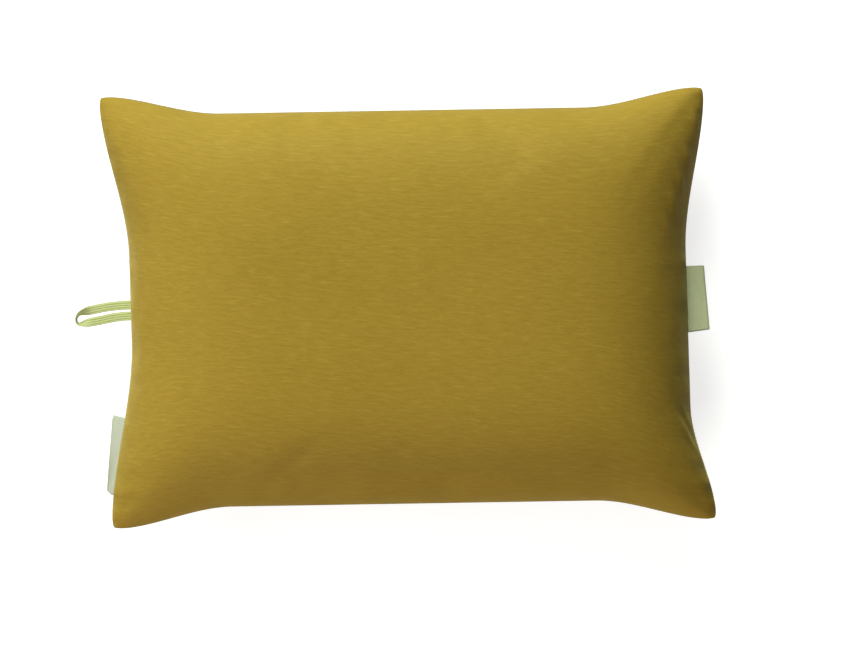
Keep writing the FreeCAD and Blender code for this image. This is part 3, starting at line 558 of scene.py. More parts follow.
def make_front(material):
    a, b = np.meshgrid(stations(CLOTH_X), stations(CLOTH_Y), indexing="ij")
    cover_sheet("cover_front_panel", a, b, FRONT, ["seam", "seam", "seam", "seam"], material)


SLOT_END_STEPS = np.array([0.05, 0.5, 1.2, 2.2, 3.6]) * MM  # closer columns at its round ends


def back_columns():
    near_end = zip_place(SLOT_HALF - SLOT_END_STEPS)
    return stations(CLOTH_X, np.concatenate([near_end, -near_end]))


FLAP_ROWS = 22


def make_flap(material):
    columns = back_columns()
    edge = zip_line(columns) - slot_half(columns)
    share = np.linspace(0, 1, FLAP_ROWS)
    b = -CLOTH_Y + share[None, :] * (edge[:, None] + CLOTH_Y)
    a = np.broadcast_to(columns[:, None], b.shape)
    cover_sheet("cover_back_flap", a, b, BACK, ["seam", "seam", "seam", "fold"], material)


def make_back(material):
    columns = back_columns()
    edge = zip_line(columns) + slot_half(columns)
    rows = int((CLOTH_Y - edge.min()) / CELL)
    share = np.linspace(0, 1, rows)
    b = edge[:, None] + share[None, :] * (CLOTH_Y - edge[:, None])
    a = np.broadcast_to(columns[:, None], b.shape)
    tucks = ["seam", "seam", "fold", "seam"]
    cover_sheet("cover_back_panel", a, b, BACK, tucks, material, hole=valve_port)


def valve_axis():
    centre = form(VALVE_U, VALVE_V, BACK)
    return centre, form_normal(VALVE_U, VALVE_V, BACK)


PORT_RINGS = 6
PORT_PATCH = 1.28  # half the block of cells that is replaced, in port radii
PORT_ROUNDS = 5  # of fitting the circle to the curved cloth
PORT_LIP = 0.9 * MM


def valve_port(outer, normal, flat, faces, number, side):
    """Opens the round port: a block of cells becomes rings from its edge to the circle."""
    centre, axis = valve_axis()
    home = np.array([from_u(VALVE_U), from_v(VALVE_V)])
    gap = np.linalg.norm(flat - home, axis=1)
    middle = np.unravel_index(np.argmin(gap[number]), number.shape)
    reach = int(PORT_PATCH * PORT_RADIUS / CELL)
    lows, highs = np.array(middle) - reach, np.array(middle) + reach
    block = number[lows[0] + 1:highs[0], lows[1] + 1:highs[1]].ravel()
    gone = set(int(n) for n in block)
    faces = [face for face in faces if not gone.intersection(face)]
    ring = np.concatenate([number[lows[0]:highs[0], lows[1]],
                           number[highs[0], lows[1]:highs[1]],
                           number[highs[0]:lows[0]:-1, highs[1]],
                           number[lows[0], highs[1]:lows[1]:-1]])
    away = flat[ring] - home
    away /= np.linalg.norm(away, axis=1, keepdims=True)
    radius = np.full(len(ring), PORT_RADIUS)
    for _ in range(PORT_ROUNDS):
        spot = surface(home[0] + away[:, 0] * radius, home[1] + away[:, 1] * radius, side)[0]
        offset = spot - centre
        offset -= np.outer(offset @ axis, axis)
        radius *= PORT_RADIUS / np.linalg.norm(offset, axis=1)
    circle = home + away * radius[:, None]
    previous = ring
    for step in range(1, PORT_RINGS + 2):
        share = min(step / PORT_RINGS, 1.0)
        place = flat[ring] * (1 - share) + circle * share
        spot, facing = surface(place[:, 0], place[:, 1], side)
        if step > PORT_RINGS:
            spot = spot - facing * PORT_LIP
        start = len(outer)
        outer = np.concatenate([outer, spot])
        normal = np.concatenate([normal, facing])
        flat = np.concatenate([flat, place])
        here = np.arange(start, start + len(ring))
        for k in range(len(ring)):
            n = (k + 1) % len(ring)
            faces.append([int(previous[k]), int(previous[n]), int(here[n]), int(here[k])])
        previous = here
    return outer, normal, flat, faces


# -------- lofted trim


def skin(count, around, start=0):
    """Faces through a run of closed rings numbered from start, with both ends capped."""
    faces = []
    for i in range(count - 1):
        near, far = start + i * around, start + (i + 1) * around
        for j in range(around):
            n = (j + 1) % around
            faces.append([near + j, near + n, far + n, far + j])
    faces.append([start + j for j in range(around)][::-1])
    faces.append([start + (count - 1) * around + j for j in range(around)])
    return faces


def loft(name, rings, material, body=None):
    """Skin through a run of closed rings, with both ends capped."""
    rings = np.asarray(rings, float)
    return add_piece(name, rings.reshape(-1, 3), skin(*rings.shape[:2]), body, material)


def tidy_normals(piece):
    bm = bmesh.new()
    bm.from_mesh(piece.data)
    bmesh.ops.recalc_face_normals(bm, faces=bm.faces)
    bm.to_mesh(piece.data)
    bm.free()


RIBBON_WIDE = 5.7 * MM
RIBBON_THICK = 0.9 * MM
RIBBON_RIBS = 4
RIBBON_POINTS = 24
LOOP_SPREAD = 3.45 * MM
LOOP_REACH = 34.5 * MM
LOOP_DROOP = 5.2 * MM
LOOP_SAG = 1.2 * MM  # how far the lower leg bows out
LOOP_FLAT = 0.62  # share of each leg that lies flat before the ribbon turns on edge
LOOP_TAIL = 4.0 * MM  # ribbon caught inside the seam
LOOP_STEPS = 150


def loop_point(run):
    """Centre of the ribbon after a run of its length, from inside the seam round to it."""
    leg = LOOP_REACH - LOOP_SPREAD + LOOP_TAIL
    bend = math.pi * LOOP_SPREAD
    if run < leg:
        out, side = run, LOOP_SPREAD
    elif run < leg + bend:
        angle = (run - leg) / LOOP_SPREAD
        out = leg + LOOP_SPREAD * math.sin(angle)
        side = LOOP_SPREAD * math.cos(angle)
    else:
        out, side = 2 * leg + bend - run, -LOOP_SPREAD
    out -= LOOP_TAIL
    free = max(out, 0.0) / LOOP_REACH
    droop = LOOP_DROOP * free**2
    if side < 0:
        droop += LOOP_SAG * math.sin(math.pi * min(free, 1.0)) ** 2 * free
    return np.array([LOOP_HINGE.x - out, LOOP_HINGE.y + side - droop, LOOP_HINGE.z])


def make_loop(material):
    total = 2 * (LOOP_REACH - LOOP_SPREAD + LOOP_TAIL) + math.pi * LOOP_SPREAD
    nudge = 0.2 * MM
    rings, places = [], []
    for k in range(LOOP_STEPS + 1):
        run = k / LOOP_STEPS * total
        here = loop_point(run)
        way = loop_point(min(run + nudge, total)) - loop_point(max(run - nudge, 0))
        way /= np.linalg.norm(way)
        across = -np.cross([0, 0, 1], way)
        free = (total / 2 - abs(run - total / 2) - LOOP_TAIL) / (total / 2 - LOOP_TAIL)
        twist = math.pi / 2 * float(ramp((free - LOOP_FLAT) / (1 - LOOP_FLAT)))
        wide = across * math.cos(twist) + np.array([0, 0, 1]) * math.sin(twist)
        face = np.cross(way, wide)
        rings.append(ribbon_ring(here, wide, face))
        places.append(run)
    piece = loft("hang_loop_ribbon", rings, material)
    tidy_normals(piece)
    strip_uv(piece, len(rings[0]), places)
    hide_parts("hang_loop", "hang_loop_sewn_ends")
    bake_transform(piece)


def ribbon_ring(here, wide, face):
    """Section of the ribbon: cords side by side, with rounded selvedges."""
    ring = []
    count = RIBBON_POINTS
    for turn in (1, -1):
        for k in range(count + 1):
            if turn == -1 and k in (0, count):
                continue
            share = turn * (0.5 - k / count)
            edge = math.sqrt(max(0.0, 1 - (2 * share) ** 8))
            cord = 0.5 + 0.5 * math.cos(2 * math.pi * share * RIBBON_RIBS)
            half = 0.5 * RIBBON_THICK * (0.62 + 0.38 * cord) * (0.25 + 0.75 * edge)
            ring.append(here + wide * share * RIBBON_WIDE + face * turn * half)
    return ring


def strip_uv(piece, around, places):
    """Lengthwise and crosswise cloth places on a lofted strip."""
    index = np.arange(len(piece.data.vertices))
    ring = index // around
    where = index % around
    run = np.asarray(places)[np.minimum(ring, len(places) - 1)]
    half = around / 2
    across = np.where(where < half, where, around - where) / half * RIBBON_WIDE
    label_cloth(piece, np.stack([run, across], axis=-1))


LABEL_THICK = 0.5 * MM
LABEL_LAYER = 0.2 * MM
LABEL_TUCK = 3.0 * MM  # how much of a label is caught inside the seam
LABEL_ROWS = 40
LABEL_COLUMNS = 14
LABEL_LEAST_ROUND = 0.5 * MM  # of a corner that is left square
LABEL_RIPPLE = 0.12 * MM
# reach from the seam and slant along it, each at the lower and the upper end; round_end
# is -1 where only the lower end is rounded and 0 where both are
LABELS = {
    "left_label": {"reach": (3.6 * MM, 7.9 * MM), "slant": (0.3 * MM, 0.9 * MM),
                   "length": 49 * MM, "rounding": 3.0 * MM, "round_end": -1,
                   "curl": 0.8 * MM, "curl_turn": 0.6},
    "right_label": {"reach": (13.6 * MM, 11.3 * MM), "slant": (1.5 * MM, 0.0),
                    "length": 42 * MM, "rounding": 0.3 * MM, "round_end": 0,
                    "curl": 0.5 * MM, "curl_turn": 2.2},
}


def label_axes(joint):
    """Outward and along the seam at a label's hinge."""
    outward = Vector(JOINTS[joint]["axis"]).cross(Vector((0, 0, 1)))
    if outward.x * JOINTS[joint]["pos_m"][0] < 0:
        outward.negate()
    along = Vector((0, 0, 1)).cross(outward)
    if along.y < 0:
        along.negate()
    return np.array(outward), np.array(along)


def make_label(body, material):
    """A folded label: two layers joined by the fold at its free edge."""
    joint, shape = body + "_flop", LABELS[body]
    hinge = np.array(JOINTS[joint]["pos_m"])
    outward, along = label_axes(joint)
    up = np.array([0, 0, 1.0])
    low, high = shape["reach"]
    low_slant, high_slant = shape["slant"]
    length, rounding = shape["length"], shape["rounding"]
    rings, cloth_at, edge = [], [], []
    for k in range(LABEL_ROWS + 1):
        q = 2 * k / LABEL_ROWS - 1
        past = max(0.0, (abs(q) - 1) * length / 2 / rounding + 1)
        cut = rounding * (1 - math.sqrt(max(0.0, 1 - past**2)))
        if shape["round_end"] and q * shape["round_end"] <= 0:
            cut = min(cut, LABEL_LEAST_ROUND)
        width = low + (high - low) * (q + 1) / 2
        reach = width - cut
        ring = label_ring(reach)
        for p, z in ring:
            free = max(p, 0.0) / width
            bend = shape["curl"] * free**2 * math.cos(q * 1.7 + shape["curl_turn"])
            bend += LABEL_RIPPLE * math.sin(q * 5 + 3 * free) * free
            slant = (low_slant * (1 - q) + high_slant * (1 + q)) / 2 * free
            place = hinge + outward * p + along * (q * length / 2 + slant) + up * (z + bend)
            rings.append(place)
            cloth_at.append((p, q * length / 2))
            edge.append(min(reach - p, (1 - abs(q)) * length / 2))
    around = len(ring)
    rings = np.array(rings).reshape(LABEL_ROWS + 1, around, 3)
    piece = loft(body + "_cloth", rings, material)
    tidy_normals(piece)
    label_cloth(piece, np.array(cloth_at), np.array(edge))
    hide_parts(body)
    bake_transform(piece)


def label_ring(reach):
    """Closed outline of the folded label's two layers, with the slit between them."""
    half = LABEL_THICK / 2
    slit = half - LABEL_LAYER
    out = np.linspace(0, 1, LABEL_COLUMNS)
    back = out[::-1]

    def layer(shares, end, height):
        return [(-LABEL_TUCK + share * (end + LABEL_TUCK), height) for share in shares]

    ring = layer(out, reach - half, -half)
    for angle in np.linspace(-60, 60, 5):
        turn = math.radians(angle)
        ring.append((reach - half + half * math.cos(turn), half * math.sin(turn)))
    ring += layer(back, reach - half, half)
    ring += layer(out, reach - 2 * half, slit)
    ring += layer(back, reach - 2 * half, -slit)
    return ring


# -------- zip, valve and stitches


def tube(path, radius, sides=6):
    """Rings of a round bar along a path."""
    path = np.asarray(path)
    way = np.gradient(path, axis=0)
    way /= np.linalg.norm(way, axis=1, keepdims=True)
    guide = np.array([0.31, 0.17, 0.93])
    first = np.cross(way, guide)
    first /= np.linalg.norm(first, axis=1, keepdims=True)
    second = np.cross(way, first)
    rings = []
    for k in range(sides):
        angle = 2 * math.pi * k / sides
        rings.append(path + radius * (first * math.cos(angle) + second * math.sin(angle)))
    return np.stack(rings, axis=1)


COIL_PITCH = 1.3 * MM
COIL_HALF = 78.0 * MM
COIL_POINTS = 12  # per turn
COIL_WIRE = 0.2 * MM
COIL_ASIDE = (0.85 * MM, 0.9 * MM)  # a coil's middle from the centre line, and its half breadth
COIL_DEEP = (-0.95 * MM, 0.38 * MM)  # its middle from the cloth, and its half depth


def make_coils(material):
    """The two interlocked nylon coils along the zip's centre line."""
    turns = int(2 * COIL_HALF / COIL_PITCH)
    angle = np.linspace(0, 2 * math.pi * turns, turns * COIL_POINTS + 1)
    run = np.linspace(-COIL_HALF, COIL_HALF, len(angle))
    for side, name in ((1, "upper"), (-1, "lower")):
        phase = 0 if side == 1 else math.pi
        a = zip_place(run)
        centre = zip_line(a)
        spot = form(to_u(a), to_v(centre), BACK)
        normal = form_normal(to_u(a), to_v(centre), BACK)
        across = np.cross(normal, [1.0, 0, 0])
        across /= np.linalg.norm(across, axis=1, keepdims=True)
        across *= np.sign(across[:, 1:2])
        wide = side * (COIL_ASIDE[0] + COIL_ASIDE[1] * np.cos(angle + phase))
        deep = COIL_DEEP[0] + COIL_DEEP[1] * np.sin(angle + phase)
        path = spot + across * wide[:, None] + normal * deep[:, None]
        piece = loft("zip_coil_" + name + "_turns", tube(path, COIL_WIRE), material, "pillow")
        tidy_normals(piece)
        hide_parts("zip_coil_" + name)


STITCH_PITCH = 3.0 * MM
TACK_PITCH = 1.5 * MM
THREAD_RADIUS = 0.27 * MM
STITCH_ENDS = (0.12, 0.88)  # part of the pitch over which a stitch shows
STITCH_POINTS = 7
STITCH_ASIDE = 1.8 * MM  # topstitches from the zip's slot
STITCH_PAST = 3.0 * MM  # how far they run past its ends
PORT_STITCH_ASIDE = 1.6 * MM


def stitch_row(name, points, normals, material, pitch=STITCH_PITCH):
    """Lockstitches along a line on the cloth, as one mesh of short sunk threads."""
    run = np.concatenate([[0], np.cumsum(np.linalg.norm(np.diff(points, axis=0), axis=1))])
    count = int(run[-1] / pitch)
    verts, faces = [], []
    for k in range(count):
        place = np.linspace((k + STITCH_ENDS[0]) * pitch, (k + STITCH_ENDS[1]) * pitch,
                            STITCH_POINTS)
        line = np.stack([np.interp(place, run, points[:, c]) for c in range(3)], 1)
        face = np.stack([np.interp(place, run, normals[:, c]) for c in range(3)], 1)
        swell = np.sin(np.linspace(0, math.pi, STITCH_POINTS))
        line += face * ((swell**0.6 - 0.55) * 0.32 * MM)[:, None]
        rings = tube(line, THREAD_RADIUS)
        middle = line[:, None, :]
        rings = middle + (rings - middle) * (0.35 + 0.65 * swell**0.5)[:, None, None]
        start = len(verts)
        verts.extend(rings.reshape(-1, 3))
        faces.extend(skin(*rings.shape[:2], start))
    piece = add_piece(name, verts, faces, "pillow", material)
    tidy_normals(piece)


def make_stitches(material):
    past = SLOT_HALF + STITCH_PAST
    a = zip_place(np.linspace(-past, past, 240))
    for side, name in ((1, "upper"), (-1, "lower")):
        b = zip_line(a) + side * (SLOT_WIDE / 2 + STITCH_ASIDE)
        points, normals = surface(a, b, BACK)
        stitch_row("zip_topstitch_" + name, points, normals, material)
    for side, name in ((1, "right"), (-1, "left")):
        share = np.linspace(-1, 1, 40)
        a_end = zip_place(np.full(40, side * past))
        b = zip_line(a_end) + share * (SLOT_WIDE / 2 + STITCH_ASIDE)
        points, normals = surface(a_end, b, BACK)
        stitch_row("zip_bartack_" + name, points, normals, material, pitch=TACK_PITCH)
    turn = np.linspace(0, 2 * math.pi, 160)
    home = np.array([from_u(VALVE_U), from_v(VALVE_V)])
    reach = PORT_RADIUS + PORT_STITCH_ASIDE
    a, b = home[0] + reach * np.cos(turn), home[1] + reach * np.sin(turn)
    points, normals = surface(a, b, BACK)
    stitch_row("valve_port_topstitch", points, normals, material)


def rounded_copy(node, width, material):
    """A CAD moulding with its edges rounded over."""
    source = frame["nodes"][node]
    bm = bmesh.new()
    bm.from_mesh(source.data)
    bmesh.ops.remove_doubles(bm, verts=bm.verts, dist=2e-6)
    bmesh.ops.dissolve_limit(bm, angle_limit=math.radians(1.5), verts=bm.verts, edges=bm.edges)
    mesh = bpy.data.meshes.new(node + "_finish")
    bm.to_mesh(mesh)
    bm.free()
    piece = bpy.data.objects.new(node + "_finish", mesh)
    bpy.context.scene.collection.objects.link(piece)
    bevel = piece.modifiers.new("edges", "BEVEL")
    bevel.width = width
    bevel.segments = 3
    bevel.limit_method = "ANGLE"
    bevel.angle_limit = math.radians(40)
    graph = bpy.context.evaluated_depsgraph_get()
    shape = bpy.data.meshes.new_from_object(piece.evaluated_get(graph))
    piece.modifiers.clear()
    piece.data = shape
    piece.data.materials.clear()
    piece.data.materials.append(material)
    piece.data.shade_smooth()
    piece.data.set_sharp_from_angle(angle=math.radians(35))
    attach(piece, source["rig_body"])
    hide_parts(node)


# -------- materials


class Look:
    """A material's node tree, written a node at a time."""

    def __init__(self, name):
        self.material = bpy.data.materials.new(name)
        self.material.use_nodes = True
        self.tree = self.material.node_tree
        self.shader = self.tree.nodes["Principled BSDF"]

    def node(self, kind, inputs=None, **settings):
        made = self.tree.nodes.new("ShaderNode" + kind)
        for key, value in settings.items():
            setattr(made, key, value)
        for key, value in (inputs or {}).items():
            self.put(made.inputs[key], value)
        return made

    def put(self, socket, value):
        if hasattr(value, "is_output"):
            self.tree.links.new(value, socket)
        else:
            socket.default_value = value

    def math(self, operation, first, second=0.0):
        made = self.node("Math", {0: first, 1: second}, operation=operation)
        return made.outputs[0]

    def weighted(self, first, share, second, other):
        """Sum of two values, each times its weight."""
        return self.math("ADD", self.math("MULTIPLY", first, share),
                         self.math("MULTIPLY", second, other))

    def bands(self, vector, scale, direction, distortion, more=None):
        inputs = {"Vector": vector, "Scale": scale, "Distortion": distortion}
        inputs.update(more or {})
        made = self.node("TexWave", inputs, wave_type="BANDS", bands_direction=direction)
        return made.outputs["Fac"]

    def cloth(self):
        return self.node("UVMap", uv_map="cloth").outputs["UV"]

    def scaled(self, vector, scale, shift=(0, 0, 0)):
        made = self.node("Mapping", {"Vector": vector, "Scale": scale, "Location": shift})
        return made.outputs["Vector"]

    def noise(self, vector, detail=2.0, roughness=0.5, scale=1.0):
        made = self.node("TexNoise", {"Vector": vector, "Scale": scale, "Detail": detail,
                                      "Roughness": roughness})
        return made.outputs["Fac"]

    def ramp(self, factor, low, high):
        made = self.node("MapRange", {"Value": factor, "From Min": low, "From Max": high})
        return made.outputs["Result"]

    def blend(self, factor, first, second, mode="MIX"):
        inputs = {0: factor, 6: first, 7: second}
        made = self.node("Mix", inputs, data_type="RGBA", blend_type=mode)
        return made.outputs[2]

    def bump(self, height, strength, distance, under=None):
        inputs = {"Height": height, "Strength": strength, "Distance": distance}
        if under is not None:
            inputs["Normal"] = under
        return self.node("Bump", inputs).outputs["Normal"]

    def finish(self, **inputs):
        for key, value in inputs.items():
            self.put(self.shader.inputs[key.replace("_", " ")], value)
        return self.material


def rgb(red, green, blue):
    return (red, green, blue, 1.0)


KNIT_DARK = rgb(0.238, 0.145, 0.0105)
KNIT_LIGHT = rgb(0.346, 0.223, 0.0280)
KNIT_SLANT = 0.09  # how far the slubs run down the cloth towards its right side


def knit_look():
    """Brushed mustard knit: long thin slubs over fine courses."""
    look = Look("cover_knit")
    cloth = look.cloth()
    warp = look.noise(look.scaled(cloth, (22, 14, 1)), 1.0)
    shift = look.math("MULTIPLY", look.math("SUBTRACT", warp, 0.5), 0.003)
    parts = look.node("SeparateXYZ", {"Vector": cloth})
    slant = look.math("MULTIPLY", parts.outputs["X"], KNIT_SLANT)
    shift = look.math("ADD", shift, slant)
    bent = look.node("CombineXYZ", {"X": parts.outputs["X"],
                                    "Y": look.math("ADD", parts.outputs["Y"], shift)})
    bent = bent.outputs["Vector"]
    long_slub = look.noise(look.scaled(bent, (105, 560, 1)), 2.0, 0.55)
    short_slub = look.noise(look.scaled(bent, (260, 1100, 1), (3, 7, 0)), 2.0, 0.6)
    rare = look.noise(look.scaled(bent, (90, 620, 1), (11, 5, 0)), 0.0)
    rare = look.ramp(rare, 0.64, 0.80)
    cloud = look.noise(look.scaled(cloth, (14, 20, 1), (5, 2, 0)), 2.0)
    fibres = look.noise(look.scaled(bent, (900, 5200, 1), (1, 9, 0)), 1.0)
    tone = look.weighted(long_slub, 0.55, short_slub, 0.45)
    tone = look.weighted(look.ramp(tone, 0.28, 0.72), 0.70, cloud, 0.30)
    tone = look.math("ADD", tone, look.math("MULTIPLY", look.math("SUBTRACT", fibres, 0.5), 0.5))
    colour = look.blend(tone, KNIT_DARK, KNIT_LIGHT)
    colour = look.blend(look.math("MULTIPLY", rare, 0.22), colour, rgb(0.40, 0.30, 0.040))
    # painted shade: the knit darkens over the last 1.6 mm of cloth at the edge seams, where the
    # two panels meet in a crease
    edge = look.node("Attribute", attribute_name="edge").outputs["Fac"]
    seam_shade = look.ramp(edge, 0.0, 0.0016)
    colour = look.blend(seam_shade, rgb(0.16, 0.10, 0.012), colour)
    courses = look.bands(bent, 1 / 0.0036, "Y", 2.0, {"Detail": 1.0, "Detail Scale": 3.0})
    height = look.weighted(long_slub, 0.6, short_slub, 0.4)
    normal = look.bump(height, 0.30, 0.00030)
    normal = look.bump(courses, 0.15, 0.0001, normal)
    fuzz = look.noise(look.scaled(cloth, (2600, 3800, 1)), 1.0)
    normal = look.bump(fuzz, 0.12, 0.00012, normal)
    rough = look.math("ADD", 0.62, look.math("MULTIPLY", short_slub, 0.22))
    return look.finish(Base_Color=colour, Roughness=rough, Normal=normal,
                       Sheen_Weight=0.30, Sheen_Roughness=0.40, Sheen_Tint=rgb(1.0, 0.91, 0.36),
                       Specular_IOR_Level=0.15)


def woven_look(name, dark, light, threads):
    """Small plain weave; threads is their number per metre, both ways."""
    look = Look(name)
    place = look.node("TexCoord").outputs["Object"]
    weave = look.math("MULTIPLY", look.bands(place, threads / 20, "X", 0.6),
                      look.bands(place, threads / 20, "Y", 0.6))
    cloud = look.noise(place, 3.0, 0.6, 160.0)
    tone = look.weighted(weave, 0.6, cloud, 0.5)
    colour = look.blend(tone, dark, light)
    normal = look.bump(weave, 0.5, 0.00012)
    return look.finish(Base_Color=colour, Roughness=0.7, Normal=normal, Sheen_Weight=0.2,
                       Specular_IOR_Level=0.25)


def ribbon_look():
    """Pale green ribbon with lengthwise cords and fine cross threads."""
    look = Look("ribbon")
    cloth = look.cloth()
    cross = look.bands(cloth, 1 / 0.0012, "X", 0.8)
    cords = look.bands(cloth, RIBBON_RIBS * 2 * math.pi / (20 * RIBBON_WIDE), "Y", 0.2)
    cloud = look.noise(look.scaled(cloth, (400, 1200, 1)), 2.0)
    tone = look.weighted(cords, 0.6, cloud, 0.4)
    colour = look.blend(tone, rgb(0.22, 0.24, 0.060), rgb(0.58, 0.62, 0.28))
    normal = look.bump(cross, 0.2, 0.00006)
    return look.finish(Base_Color=colour, Roughness=0.6, Normal=normal, Sheen_Weight=0.25,
                       Specular_IOR_Level=0.3)


def label_look(name, dark, light, hem):
    """Fine woven label, darker along its edges."""
    look = Look(name)
    cloth = look.cloth()
    warp = look.bands(cloth, 1 / 0.0048, "X", 0.5)
    weft = look.bands(cloth, 1 / 0.0040, "Y", 0.5)
    weave = look.math("MULTIPLY", warp, weft)
    cloud = look.noise(look.scaled(cloth, (260, 120, 1)), 3.0, 0.6)
    tone = look.weighted(weave, 0.35, cloud, 0.6)
    colour = look.blend(tone, dark, light)
    edge = look.node("Attribute", attribute_name="edge").outputs["Fac"]
    colour = look.blend(look.ramp(edge, 0.0002, 0.0012), hem, colour)
    normal = look.bump(weave, 0.4, 0.0001)
    return look.finish(Base_Color=colour, Roughness=0.55, Normal=normal, Sheen_Weight=0.15,
                       Specular_IOR_Level=0.3)


def plastic_look(name, colour, rough, grain=900.0, metal=0.0):
    """Moulded plastic or painted metal with a fine spark grain."""
    look = Look(name)
    place = look.node("TexCoord").outputs["Object"]
    grains = look.noise(place, 2.0, 0.6, grain)
    cloud = look.noise(place, 2.0, 0.5, 60.0)
    tone = look.math("ADD", 0.85, look.math("MULTIPLY", cloud, 0.3))
    grey = look.node("CombineColor", {0: tone, 1: tone, 2: tone}).outputs[0]
    shade = look.blend(1.0, colour, grey, "MULTIPLY")
    roughness = look.math("ADD", rough - 0.08, look.math("MULTIPLY", grains, 0.16))
    normal = look.bump(grains, 0.25, 0.00008)
    return look.finish(Base_Color=shade, Roughness=roughness, Normal=normal, Metallic=metal)


def foam_look():
    look = Look("foam")
    place = look.node("TexCoord").outputs["Object"]
    cells = look.node("TexVoronoi", {"Vector": place, "Scale": 900.0}).outputs["Distance"]
    colour = look.blend(cells, rgb(0.80, 0.78, 0.70), rgb(0.55, 0.52, 0.44))
    return look.finish(Base_Color=colour, Roughness=0.95, Normal=look.bump(cells, 0.6, 0.0003))


def dress_node(node, material):
    """Gives a CAD part that stays in view its material."""
    slots = frame["nodes"][node].data.materials
    slots.clear()
    slots.append(material)


# -------- floor, light and camera

VIEW_X = 15.5 * MM  # the camera looks straight down beside the pillow's middle
VIEW_Y = -14.9 * MM
VIEW_TURN = math.radians(-1.4)
VIEW_WIDE = 545.6 * MM  # width seen at the height of the seam
VIEW_HIGH = 1500.0 * MM
FLOOR_HALF = 3.0
FLOOR_BOUNCE = 0.18
FLOOR_LIFT = 0.77  # glow seen from overhead, and how much less of it is seen aslant
FLOOR_LIFT_DROP = 0.30


def floor_look():
    """Pale floor: bright from above, throws little light back, clear from below."""
    look = Look("floor")
    grain = look.noise(look.node("TexCoord").outputs["Object"], 3.0, 0.5, 40.0)
    seen = look.node("LightPath").outputs["Is Camera Ray"]
    facing = look.node("LayerWeight", {"Blend": 0.5}).outputs["Facing"]
    aslant = look.ramp(facing, 0.05, 0.35)
    overhead = look.blend(grain, rgb(0.44, 0.44, 0.44), rgb(0.46, 0.46, 0.46))
    bright = look.blend(aslant, overhead, rgb(0.72, 0.72, 0.72))
    colour = look.blend(seen, rgb(FLOOR_BOUNCE, FLOOR_BOUNCE, FLOOR_BOUNCE), bright)
    glow = look.math("SUBTRACT", FLOOR_LIFT, look.math("MULTIPLY", aslant, FLOOR_LIFT_DROP))
    lift = look.math("MULTIPLY", seen, glow)
    below = look.math("MAXIMUM", look.node("NewGeometry").outputs["Backfacing"],
                      look.node("LightPath").outputs["Is Shadow Ray"])
    return look.finish(Base_Color=colour, Roughness=0.9, Specular_IOR_Level=0.1,
                       Emission_Color=rgb(1.0, 1.0, 1.0), Emission_Strength=lift,
                       Alpha=look.math("SUBTRACT", 1.0, below))


def make_floor():
    verts = [(x * FLOOR_HALF, y * FLOOR_HALF, 0) for x, y in ((-1, -1), (1, -1), (1, 1), (-1, 1))]
    floor = add_piece("floor", verts, [[0, 1, 2, 3]], None, floor_look(), False)


def area_light(name, place, energy, colour):
    """Round lamp that shines at the pillow's middle."""
    data = bpy.data.lights.new(name, "AREA")
    data.shape = "DISK"
    data.size = LAMP_SIZE
    data.energy = energy
    data.color = colour
    lamp = bpy.data.objects.new(name, data)
    lamp.location = place
    way = Vector((0, 0, SEAM)) - Vector(place)
    lamp.rotation_euler = way.to_track_quat("-Z", "Y").to_euler()
    bpy.context.scene.collection.objects.link(lamp)


LAMP_SIZE = 0.9

# name, place, power and colour; the last two light the underside
LIGHTS = (
    ("left", (-1.5, 0.2, 0.9), 12.0, (1.0, 1.07, 1.0)),
    ("low_left", (-1.6, 0.9, 0.6), 6.2, (1.0, 1.08, 1.0)),
    ("top", (-0.17, 1.5, 0.8), 38.5, (0.99, 1.08, 0.98)),
    ("bottom", (-0.35, -1.4, 0.9), 17.5, (1.04, 0.97, 0.94)),
    ("underside_left", (-0.9, 0.7, -1.2), 17.0, (1.0, 1.0, 1.0)),
    ("underside_right", (0.9, -0.7, -1.2), 11.0, (1.0, 1.0, 1.0)),
)
WORLD_LIGHT = 0.022
WORLD_SEEN = 0.9


def make_lights():
    for lamp in LIGHTS:
        area_light(*lamp)
    world = bpy.data.worlds.new("studio")
    world.use_nodes = True
    tree = world.node_tree
    sky = tree.nodes["Background"]
    sky.inputs["Color"].default_value = rgb(1.0, 1.0, 1.0)
    seen = tree.nodes.new("ShaderNodeLightPath").outputs["Is Camera Ray"]
    strength = tree.nodes.new("ShaderNodeMapRange")
    strength.inputs["To Min"].default_value = WORLD_LIGHT
    strength.inputs["To Max"].default_value = WORLD_SEEN
    tree.links.new(seen, strength.inputs["Value"])
    tree.links.new(strength.outputs["Result"], sky.inputs["Strength"])
    bpy.context.scene.world = world


def make_camera():
    data = bpy.data.cameras.new("camera")
    data.sensor_width = 36.0
    data.lens = 36.0 * (VIEW_HIGH - SEAM) / VIEW_WIDE
    camera = bpy.data.objects.new("camera", data)
    camera.location = (VIEW_X, VIEW_Y, VIEW_HIGH)
    camera.rotation_euler = (0, 0, VIEW_TURN)
    bpy.context.scene.collection.objects.link(camera)
    bpy.context.scene.camera = camera


# -------- everything


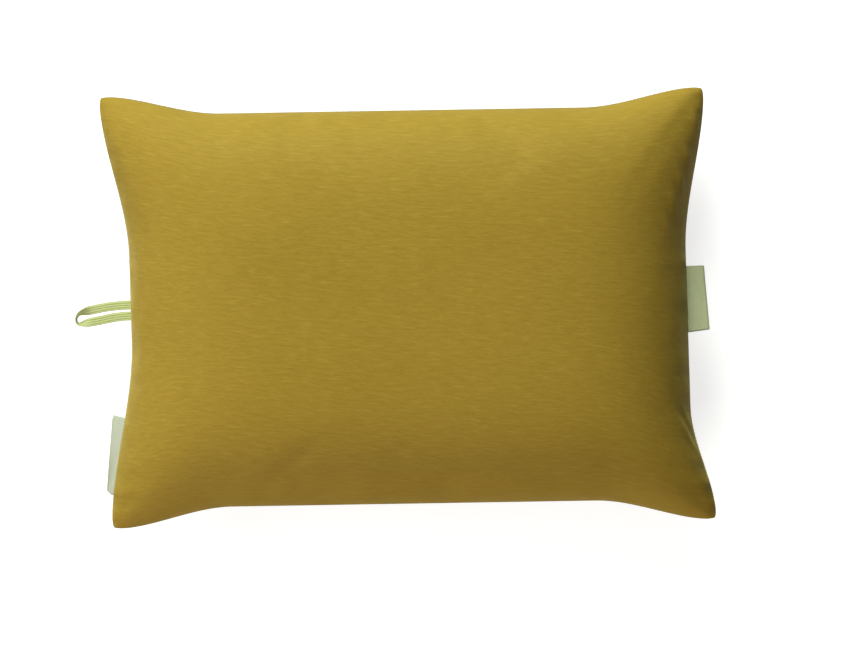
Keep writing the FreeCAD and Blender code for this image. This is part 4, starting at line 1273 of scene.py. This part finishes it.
def dress_cad():
    film = plastic_look("air_film", rgb(0.20, 0.22, 0.23), 0.5, 2000.0)
    knit = woven_look("binding", rgb(0.17, 0.11, 0.015), rgb(0.30, 0.20, 0.03), 18000)
    tape = woven_look("zip_tape", rgb(0.10, 0.065, 0.012), rgb(0.20, 0.135, 0.025), 16000)
    for part in ("air_cell_front", "air_cell_back", "baffle_left", "baffle_middle",
                 "baffle_right"):
        dress_node(part, film)
    dress_node("foam_pad", foam_look())
    dress_node("seam_allowance", knit)
    dress_node("valve_port_binding", knit)
    for node in ("zip_tape_upper", "zip_tape_lower"):
        dress_node(node, tape)


def make_mouldings():
    body = plastic_look("valve_body", rgb(0.035, 0.038, 0.035), 0.5)
    silicone = plastic_look("valve_silicone", rgb(0.62, 0.62, 0.58), 0.35)
    metal = plastic_look("zip_metal", rgb(0.16, 0.11, 0.03), 0.32, 1500.0, 0.7)
    pull = plastic_look("zip_pull", rgb(0.30, 0.35, 0.15), 0.5)
    stops = plastic_look("zip_stops", rgb(0.10, 0.07, 0.015), 0.4)
    for node, width, material in (
        ("valve_base", 0.25 * MM, body),
        ("valve_plug", 0.2 * MM, body),
        ("valve_cap", 0.3 * MM, body),
        ("valve_membrane", 0.1 * MM, silicone),
        ("zip_slider", 0.22 * MM, metal),
        ("zip_pull", 0.25 * MM, pull),
        ("zip_end_stops", 0.15 * MM, stops),
    ):
        rounded_copy(node, width, material)


def make_trim():
    make_loop(ribbon_look())
    left = label_look("left_label_weave", rgb(0.40, 0.42, 0.33), rgb(0.53, 0.55, 0.46),
                      rgb(0.36, 0.40, 0.25))
    right = label_look("right_label_weave", rgb(0.36, 0.39, 0.215), rgb(0.54, 0.57, 0.36),
                       rgb(0.27, 0.30, 0.16))
    make_label("left_label", left)
    make_label("right_label", right)


knit = knit_look()
thread = woven_look("thread", rgb(0.42, 0.30, 0.060), rgb(0.62, 0.46, 0.11), 24000)
coil = plastic_look("zip_coil", rgb(0.13, 0.09, 0.02), 0.35, 1500.0)
make_front(knit)
make_back(knit)
make_flap(knit)
make_coils(coil)
make_stitches(thread)
make_mouldings()
make_trim()
dress_cad()
make_floor()
make_lights()
make_camera()
bpy.context.scene.view_settings.view_transform = "Standard"
